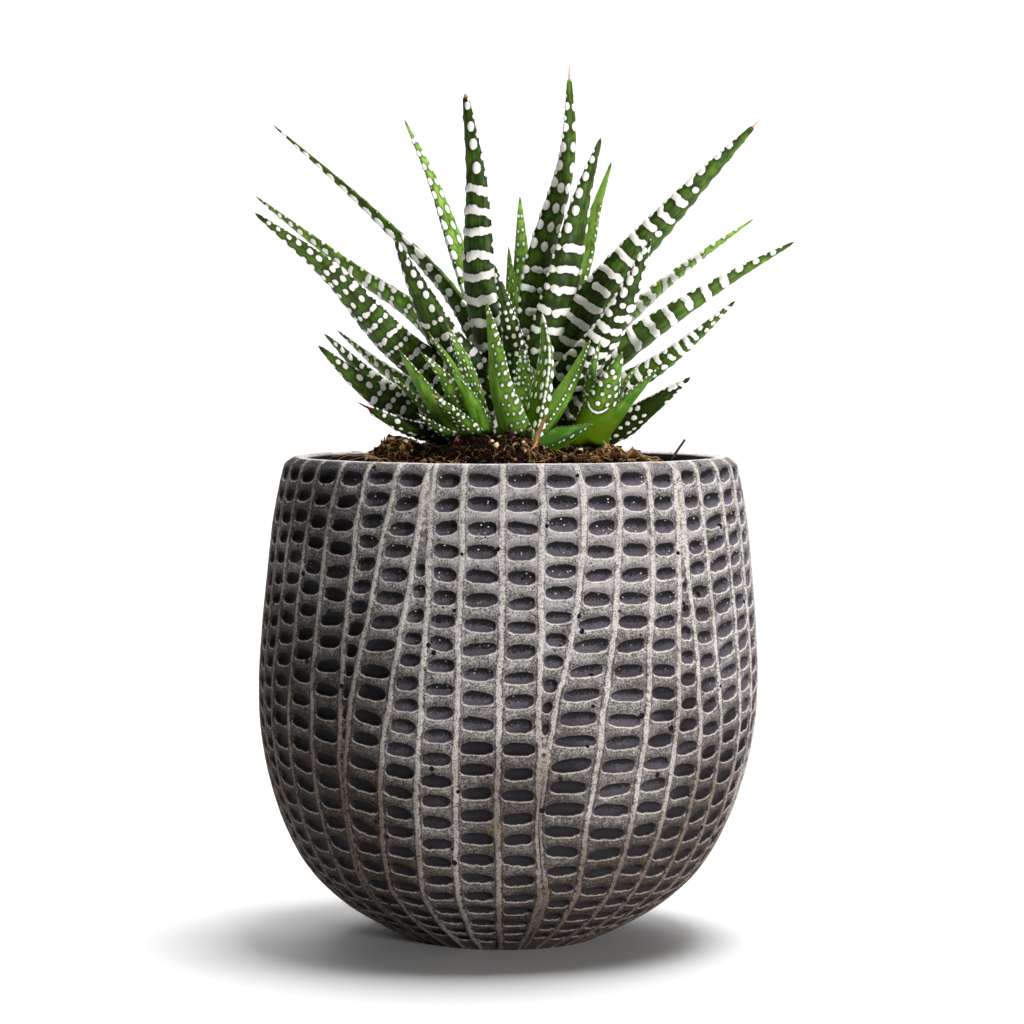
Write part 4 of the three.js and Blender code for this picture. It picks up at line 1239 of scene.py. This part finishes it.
def tubercle_rows(leaf, length, girth_at, radius, seed):
    """The leaf's tubercles: distance from the root, place round the outer face from the keel, and two radii.
    The distances of its rows from the root come with them."""
    first, tip_spacing, base_spacing, dot_rows, style = leaf["marks"]
    join = leaf.get("join", 0.85)
    draw = np.random.default_rng(seed)
    size = leaf.get("dots", 1.0) * radius
    small = isinstance(style, str)
    found = []
    rows = []

    def dot(distance, around, scale=1.0, stretch=1.0):
        found.append((distance, around, size * scale * stretch, size * scale))

    def margins(distance, scale):
        for side in (-1, 1):
            place = distance + draw.normal(0, 0.2)
            dot(place, side * girth_at(place) / 2, scale * draw.uniform(0.85, 1.15), 1.25)

    def small_row(place, girth):
        count = max(2, round(girth / (size * 3.7)))
        for k in range(count):
            around = (k + 0.5 - count / 2) / count * girth + draw.normal(0, 0.12)
            on_plain_side = style == "half" and around < 0.2 * girth
            if not on_plain_side and draw.random() < 0.82:
                dot(place + draw.normal(0, 0.22), around, draw.uniform(0.8, 1.15), draw.uniform(1, 1.25))

    def separate_dots(place, girth, narrow):
        for share in style:
            if share not in leaf.get("later", ()) or girth > LATER_GIRTH:
                dot(place + draw.normal(0, 0.3), (share + draw.normal(0, 0.04)) * girth / 2, 0.95 * narrow,
                    leaf.get("stretch", 1.35))

    def band(place, low, high, half_girth):
        around = low * draw.uniform(0.9, 1.0)
        bow, drift = draw.normal(0, 0.6), 0.0
        while around < high:
            wave = drift + bow * (around / half_girth) ** 2
            dot(place + wave, around, draw.uniform(0.82, 1.12), draw.uniform(0.88, 1.1))
            drift = 0.5 * drift + draw.normal(0, 0.26)
            around += size * (1.15 if draw.random() < join else draw.uniform(2.0, 2.6))

    from_tip = first
    while from_tip < length * (1 - leaf.get("bare", 0.04)):
        place = length - from_tip + draw.normal(0, 0.15)
        girth = girth_at(place)
        narrow = 0.62 + 0.38 * float(smooth_share(girth, 1.5, 8))
        spacing = tip_spacing + (base_spacing - tip_spacing) * min(1, from_tip / (0.6 * length))
        if style in ("rows", "half"):
            small_row(place, girth)
        elif not small:
            if len(rows) >= dot_rows:
                low, high = leaf.get("band", (-1, 1))
                band(place, low * girth / 2, high * girth / 2, girth / 2)
            else:
                separate_dots(place, girth, narrow)
            margins(place + 0.5 * spacing, leaf.get("edge", 0.6) * narrow)
            if "line" in leaf:
                dot(place + 0.4 * spacing, leaf["line"] * girth / 2, 0.75 * narrow, 1.8)
        rows.append(place)
        from_tip += spacing
    if small:
        for distance in np.arange(0.15 * length, 0.97 * length, 1.45):
            margins(distance, 0.62)
    if "smile" in leaf:
        place = leaf["smile"] * length
        half_girth = girth_at(place) / 2
        for share in SMILE_SHARES:
            dot(place + 1.6 * share ** 2, (0.42 * share - 0.36) * half_girth, 0.5)
    return np.array(found), rows[::-1]


def tubercle_field(dots, place, around):
    """How far each point lies inside the nearest tubercle, in millimetres. Outside, the value is negative."""
    total = np.zeros_like(around)
    for distance, middle, long_radius, wide_radius in dots:
        close = np.abs(place - distance) < FIELD_REACH
        span = np.hypot((place[close, None] - distance) / long_radius, (around[close] - middle) / wide_radius)
        inside = np.clip((1 - span) * min(long_radius, wide_radius), BARE, -BARE)
        total[close] += np.exp(inside / SOFTNESS)
    return SOFTNESS * np.log(total + math.exp(BARE / SOFTNESS))


def leaf_axes(along, outward, turn):
    """The side and up directions of each ring, twisted by a turn in degrees."""
    across = np.cross((0, 0, 1), outward)
    twist = math.radians(turn) * -np.sign(across[1])
    level = across - along * (along @ across)[:, None]
    level /= np.linalg.norm(level, axis=1)[:, None]
    side = level * math.cos(twist) + np.cross(along, level) * math.sin(twist)
    return side, np.cross(along, side)


def leaf_width(leaf, share, from_tip):
    """The width of each ring, which tapers to the tip."""
    width = leaf["width"] * (1 - (1 - leaf.get("blunt", 0.07)) * share ** leaf.get("taper", 1.7))
    dried = leaf.get("tip", 0.3)
    if dried > AWN:
        width = width * (0.38 + 0.62 * smooth_share(from_tip, 0.75 * dried, 1.1 * dried))
    return width * np.clip(from_tip / 1.2, 0.25, 1) ** 0.5


def add_leaf(parts, base, leaf, settings, step, seed):
    """Adds one leaf, lofted along its midrib, with its tubercles raised out of the outer face."""
    base = np.asarray(base, float)
    tip = np.asarray(leaf["midrib"][-1], float)
    line = Line(np.vstack([base, leaf["midrib"]]), power=0.5, mirrored=True)
    length = line.length
    rings = max(24, int(length / step))
    share = np.linspace(0, 1, rings + 1)
    place = share * length
    from_tip = length - place
    centre, along = line.at(place), line.slope(place)
    outward = (tip - base) * (1, 1, 0)
    side, up = leaf_axes(along, outward / np.linalg.norm(outward), leaf.get("turn", 0))
    width = leaf_width(leaf, share, from_tip)
    half, depth = width[:, None] / 2, width[:, None] * DEPTH_SHARE
    across_share, up_share, is_inner = leaf_section(OUTER_STEPS if leaf.get("both") else INNER_STEPS)
    count = len(across_share)
    section_x = across_share * half
    section_y = up_share * depth

    # The distance round the leaf from its keel
    outer = slice(0, OUTER_STEPS + 1)
    inner = slice(OUTER_STEPS + 1, count)
    steps_around = np.hypot(np.diff(section_x[:, outer]), np.diff(section_y[:, outer]))
    arc = np.concatenate([np.zeros((rings + 1, 1)), np.cumsum(steps_around, axis=1)], axis=1)
    girth = arc[:, -1:]
    past_margin = half * (1 - np.abs(across_share[inner]))
    around = np.hstack([arc - girth / 2, np.sign(across_share[inner]) * (girth / 2 + past_margin)])

    field = np.full((rings + 1, count), BARE)
    swell = np.zeros(rings + 1)
    if "marks" in leaf:
        dots, rows = tubercle_rows(
            leaf, length, lambda distance: float(np.interp(distance, place, girth[:, 0])),
            settings.tubercle_radius / MM, seed)
        marked = around.copy()
        if leaf.get("both"):
            marked[:, inner] = across_share[inner] * girth / 2
        field = tubercle_field(dots, place, marked)
        if leaf["marks"][3] < NO_BANDS:
            swell = -np.cos(2 * math.pi * np.interp(place, rows, np.arange(len(rows))))
    rise = settings.tubercle_rise / MM * (0.4 + 0.6 * leaf.get("dots", 1.0))
    raised = rise * np.sqrt(smooth_share(field, -0.05, 0.75)) * smooth_share(from_tip, 0.5, 6)[:, None]

    # Everything grows straight out of the skin
    normal_x = section_x / np.maximum(half, 0.1) ** 2
    normal_y = section_y / np.maximum(depth, 0.1) ** 2
    size = np.maximum(np.hypot(normal_x, normal_y), 1e-6)
    flat = np.column_stack([section_x.ravel(), section_y.ravel(), np.zeros(section_x.size)])
    rough = noise_at(np.repeat(centre, count, axis=0) + flat, 2.6, seed).reshape(section_x.shape)
    at_margin = np.exp(-((np.abs(around) - girth / 2) / 0.5) ** 2)
    teeth = np.abs((place / TOOTH_PITCH + 0.3 * np.sin(place)) % 1 - 0.5)[:, None] * 2
    grown = raised + SKIN_ROUGHNESS * rough * smooth_share(width, 0.5, 4)[:, None]
    grown += SWELL * (swell * smooth_share(width, 1, 6) * smooth_share(share, 0.1, 0.3))[:, None]
    grown += TOOTH_RISE * at_margin * teeth * smooth_share(width, 0.6, 3)[:, None]
    section_x = section_x + normal_x / size * grown
    section_y = section_y + normal_y / size * grown

    points = centre[:, None] + side[:, None] * section_x[..., None] + up[:, None] * section_y[..., None]
    dried = leaf.get("tip", 0.3)
    dry = 1 - smooth_share(from_tip, 0.7 * dried, 1.15 * dried)
    spot = np.stack([np.repeat(place, count), around.ravel(), np.full(around.size, seed * 3.7)], axis=-1)
    shades = dict(tone=leaf.get("tone", 0.5), base=leaf.get("base", 0.0), rust=leaf.get("rust", 0.0))
    start = parts.add(
        points.reshape(-1, 3), grid_faces(rings + 1, count, closed=True), tubercle=field.ravel(),
        along=np.repeat(share, count), inner=np.tile(is_inner, rings + 1), dry=np.repeat(dry, count),
        spot=spot, **shades)
    root_ring = range(start, start + count)[::-1]
    tip_ring = range(parts.count - count, parts.count)
    ends = (root_ring, base - along[0] * 0.3, 0.0), (tip_ring, tip + along[-1] * 0.15, 1.0)
    for ring, end, at_tip in ends:
        parts.close_ring(ring, end, tubercle=BARE, along=at_tip, inner=0.0, dry=at_tip,
                         spot=[(at_tip * length, 0, 0)], **shades)


def leaf_finish(name, settings, dark, light, pale):
    """A firm green skin with raised white tubercles, a dried tip and a lighter inner face."""
    finish = Finish(name, Specular_IOR_Level=0.15, Subsurface_Weight=0.08, Subsurface_Scale=0.002)
    finish.shader.inputs["Subsurface Radius"].default_value = (0.6, 1.0, 0.3)
    spot, tubercle, along = finish.vector("spot"), finish.value("tubercle"), finish.value("along")
    streak = finish.noise(0.9, detail=3, roughness=0.6, place=finish.stretched(spot, 0.18), unit=1)
    cloud = finish.noise(4, detail=2, place=spot, unit=1)
    fine = finish.noise(0.35, detail=2, place=spot, unit=1)

    # The tone, with streaks and clouds, is darker towards the base, as painted shade deep in the rosette, and
    # lighter towards the tip
    share = finish.total(
        finish.value("tone"), finish.ripple(streak, 0.18), finish.ripple(cloud, 0.2),
        finish.spread(along, 0.3, 1.0, -0.1, 0.15))
    share = finish.math("ADD", share, finish.product(finish.value("inner"), 0.15), clamp=True)
    colour = finish.ramp(share, (0.0, dark), (0.86, light), (1.0, pale))
    low = finish.product(finish.spread(along, 0.2, 0.62, 1.0, 0.0), finish.value("base"))
    colour = finish.mix(low, colour, settings.olive)
    # Painted shade round each raised tubercle
    colour = finish.mix(finish.spread(tubercle, -0.9, -0.02, 0.0, 0.58), colour, settings.shade)
    colour = finish.mix(finish.spread(along, 0.93, 1.0, 0.0, 0.75), colour, settings.shade)

    white = finish.spread(finish.total(tubercle, finish.ripple(fine, 0.07)), 0.0, 0.12)
    chalk = finish.mix(finish.spread(fine, 0.35, 0.75, 0.0, 0.12), settings.white, settings.dry)
    colour = finish.mix(white, colour, finish.mix(0.04, chalk, colour))
    papery = finish.mix(finish.spread(fine, 0.3, 0.8, 0.0, 0.3), settings.dry, settings.white)
    papery = finish.mix(finish.value("rust"), papery, settings.rust)
    finish.colour(finish.mix(finish.spread(finish.value("dry"), 0.2, 0.8), colour, papery))
    finish.rough(finish.spread(white, 0, 1, 0.46, 0.62))
    finish.relief(finish.total(finish.product(streak, 0.6), finish.product(fine, 0.4)), 0.12, 0.5)
    return finish.material


def build_leaves(settings):
    """The leaves of the main rosette, each a piece of its own."""
    material = leaf_finish("banded_leaf", settings, settings.dark, settings.light, settings.pale)
    for seed, (name, leaf) in enumerate(MAIN_LEAVES.items(), start=41):
        parts = MeshParts()
        add_leaf(parts, main_leaf_base(leaf), leaf, settings, settings.mesh_step / MM, seed)
        seat(parts.piece("banded_" + name, material), "leaf", name)


def add_stem(parts, axis):
    """An offset's short round stem, which narrows to a rounded top."""
    turns = np.linspace(0, 2 * math.pi, OFFSET_STEM_SIDES, endpoint=False)
    circle = np.column_stack([np.cos(turns), np.sin(turns), np.zeros(len(turns))]) * OFFSET_STEM_RADIUS
    points = np.vstack([circle * share + (*axis, height) for share, height in OFFSET_STEM_OUTLINE])
    faces = capped_faces(len(OFFSET_STEM_OUTLINE), len(turns))
    parts.add(points, faces, tubercle=BARE, along=0.0, inner=0.0, dry=0.0, spot=points, tone=0.5, base=1.0,
              rust=0.0)


def build_offsets(settings):
    """The young rosettes at the front, each one piece."""
    material = leaf_finish("offset_leaf_skin", settings, settings.offset, settings.offset_light,
                           settings.offset_light)
    for number, (name, offset) in enumerate(OFFSETS.items()):
        parts = MeshParts()
        add_stem(parts, offset["axis"])
        base = (*offset["axis"], OFFSET_LEAF_ROOT)
        for seed, leaf in enumerate(offset["leaves"], start=81 + 10 * number):
            add_leaf(parts, base, {"dots": 0.42, **leaf}, settings, settings.offset_step / MM, seed)
        seat(parts.piece(name + "_rosette", material), "offset_leaf", name)


def build_small_parts(settings):
    """The stem's finish, the dried leaf base and the twig."""
    finish = Finish("stem_skin", Roughness=0.6)
    cloud = finish.noise(1.5, detail=3)
    finish.colour(finish.ramp(cloud, (0.3, settings.olive), (0.7, settings.stem)))
    finish.relief(cloud, 0.3, 0.5)
    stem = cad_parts["main_stem"]
    stem.data.materials.clear()
    stem.data.materials.append(finish.material)

    finish = Finish("papery_leaf", Roughness=0.7)
    streak = finish.noise(0.45, detail=3, place=finish.stretched(finish.vector("spot"), 0.12), unit=1)
    finish.colour(finish.ramp(
        streak, (0.3, settings.papery_dark), (0.55, settings.papery), (0.8, settings.papery_light)))
    finish.relief(streak, 0.3, 0.7)
    parts = MeshParts()
    add_leaf(parts, DRY_LEAF_BASE, DRY_LEAF, settings, settings.offset_step / MM, 77)
    seat(parts.piece("papery_leaf_base", finish.material), "dry_leaf", "dry_leaf_base")

    finish = Finish("black_twig", Roughness=0.75)
    streak = finish.noise(0.3, detail=2)
    finish.colour(finish.ramp(streak, (0.3, settings.twig_dark), (0.7, settings.twig)))
    finish.relief(streak, 0.2, 0.8)
    line = Line(TWIG_ROUTE, power=0.5, mirrored=True)
    route = line.at(np.linspace(0, line.length, TWIG_POINTS))
    uneven = np.random.default_rng(78).uniform(0.85, 1.0, TWIG_POINTS)
    radii = TWIG_RADIUS * np.linspace(0.95, 0.8, TWIG_POINTS) * uneven
    parts = MeshParts()
    parts.add(*tube(route, radii, 10))
    seat(parts.piece("black_twig", finish.material), "twig", "twig")


# Stage

def aim(thing, place, target):
    """Puts a lamp at a place and turns it towards a target, both in millimetres."""
    thing.location = Vector(place) * MM
    direction = (Vector(target) - Vector(place)).normalized()
    thing.rotation_euler = direction.to_track_quat("-Z", "Y").to_euler()


def add_light(name, place, target, width, height, power):
    """A rectangular lamp that faces a target."""
    light = bpy.data.lights.new(name, "AREA")
    light.energy = power
    light.shape = "RECTANGLE"
    light.size = width * MM
    light.size_y = height * MM
    lamp = bpy.data.objects.new(name, light)
    bpy.context.scene.collection.objects.link(lamp)
    aim(lamp, place, target)


def build_stage(settings):
    """The camera, the even light, a floor that sweeps up into a backdrop, and the lights."""
    scene = bpy.context.scene
    scene.view_settings.view_transform = "Standard"
    camera = bpy.data.objects.new("photo_camera", bpy.data.cameras.new("photo_camera"))
    scene.collection.objects.link(camera)
    camera.location = Vector(CAMERA_PLACE) * MM
    camera.rotation_euler = (math.radians(90 - CAMERA_DOWN_DEGREES), 0, 0)
    camera.data.lens = CAMERA_LENS
    camera.data.sensor_width = CAMERA_SENSOR
    camera.data.clip_start = 0.01
    scene.camera = camera

    world = bpy.data.worlds.new("soft_sky")
    scene.world = world
    world.use_nodes = True
    sky = world.node_tree.nodes["Background"]
    sky.inputs["Color"].default_value = (1, 1, 1, 1)
    sky.inputs["Strength"].default_value = settings.sky

    turn = np.radians(np.linspace(0, 90, 16))
    profile = [(-FLOOR_REACH, 0)]
    profile += [(FLOOR_REACH + FLOOR_BEND * math.sin(a), FLOOR_BEND - FLOOR_BEND * math.cos(a)) for a in turn]
    profile.append((FLOOR_REACH + FLOOR_BEND, BACKDROP_HEIGHT))
    points = [(x, y, z) for y, z in profile for x in (-2 * FLOOR_REACH, 2 * FLOOR_REACH)]
    parts = MeshParts()
    parts.add(points, [(2 * k, 2 * k + 1, 2 * k + 3, 2 * k + 2) for k in range(len(profile) - 1)])
    finish = Finish("pale_floor", Roughness=0.9, Specular_IOR_Level=0.2)
    finish.shader.inputs["Base Color"].default_value = settings.floor
    parts.piece("floor_sweep", finish.material)

    add_light("top_light", (175, 30, 1000), LIT_PLACE, 420, 420, settings.top)
    add_light("key_light", (700, -860, 75), LIT_PLACE, 220, 130, settings.key)
    add_light("back_light", (0, 2300, 3000), (0, 3500, 700), 3200, 3200, settings.back)


# The add-on's operators, panel and main function

class HAWORTHIA_OT_stage(bpy.types.Operator):
    """Makes the camera, the floor and the lights"""
    bl_idname = "haworthia.stage"
    bl_label = "Stage"

    def execute(self, context):
        build_stage(context.scene.haworthia_stage)
        return {"FINISHED"}


class HAWORTHIA_OT_pot(bpy.types.Operator):
    """Builds the ribbed and dimpled cement pot"""
    bl_idname = "haworthia.pot"
    bl_label = "Pot"

    def execute(self, context):
        build_pot(context.scene.haworthia_pot)
        return {"FINISHED"}


class HAWORTHIA_OT_soil(bpy.types.Operator):
    """Builds the peat with its crumbs, fibres, flakes and grains"""
    bl_idname = "haworthia.soil"
    bl_label = "Soil"

    def execute(self, context):
        build_soil(context.scene.haworthia_soil)
        return {"FINISHED"}


class HAWORTHIA_OT_leaves(bpy.types.Operator):
    """Builds the leaves of the main rosette"""
    bl_idname = "haworthia.leaves"
    bl_label = "Main leaves"

    def execute(self, context):
        build_leaves(context.scene.haworthia_plant)
        return {"FINISHED"}


class HAWORTHIA_OT_offsets(bpy.types.Operator):
    """Builds the three offsets at the front"""
    bl_idname = "haworthia.offsets"
    bl_label = "Offsets"

    def execute(self, context):
        build_offsets(context.scene.haworthia_plant)
        return {"FINISHED"}


class HAWORTHIA_OT_small_parts(bpy.types.Operator):
    """Finishes the stem and builds the dried leaf base and the twig"""
    bl_idname = "haworthia.small_parts"
    bl_label = "Small parts"

    def execute(self, context):
        build_small_parts(context.scene.haworthia_plant)
        return {"FINISHED"}


OPERATORS = (
    HAWORTHIA_OT_stage, HAWORTHIA_OT_pot, HAWORTHIA_OT_soil, HAWORTHIA_OT_leaves, HAWORTHIA_OT_offsets,
    HAWORTHIA_OT_small_parts,
)


class HAWORTHIA_PT_panel(bpy.types.Panel):
    """Lists the steps that build the potted haworthia"""
    bl_idname = "HAWORTHIA_PT_panel"
    bl_label = "Potted Haworthia"
    bl_space_type = "VIEW_3D"
    bl_region_type = "UI"
    bl_category = "Haworthia"

    def draw(self, context):
        for operator in OPERATORS:
            self.layout.operator(operator.bl_idname)


SETTINGS = {
    "haworthia_pot": HAWORTHIA_PG_pot, "haworthia_soil": HAWORTHIA_PG_soil,
    "haworthia_plant": HAWORTHIA_PG_plant, "haworthia_stage": HAWORTHIA_PG_stage,
}


def register():
    for group in (*SETTINGS.values(), *OPERATORS, HAWORTHIA_PT_panel):
        bpy.utils.register_class(group)
    for name, group in SETTINGS.items():
        setattr(bpy.types.Scene, name, bpy.props.PointerProperty(type=group))


def unregister():
    for name in SETTINGS:
        delattr(bpy.types.Scene, name)
    for group in (HAWORTHIA_PT_panel, *OPERATORS, *SETTINGS.values()):
        bpy.utils.unregister_class(group)


def main():
    register()
    bpy.ops.haworthia.stage()
    bpy.ops.haworthia.pot()
    bpy.ops.haworthia.soil()
    bpy.ops.haworthia.leaves()
    bpy.ops.haworthia.offsets()
    bpy.ops.haworthia.small_parts()


if __name__ == "__main__":
    main()
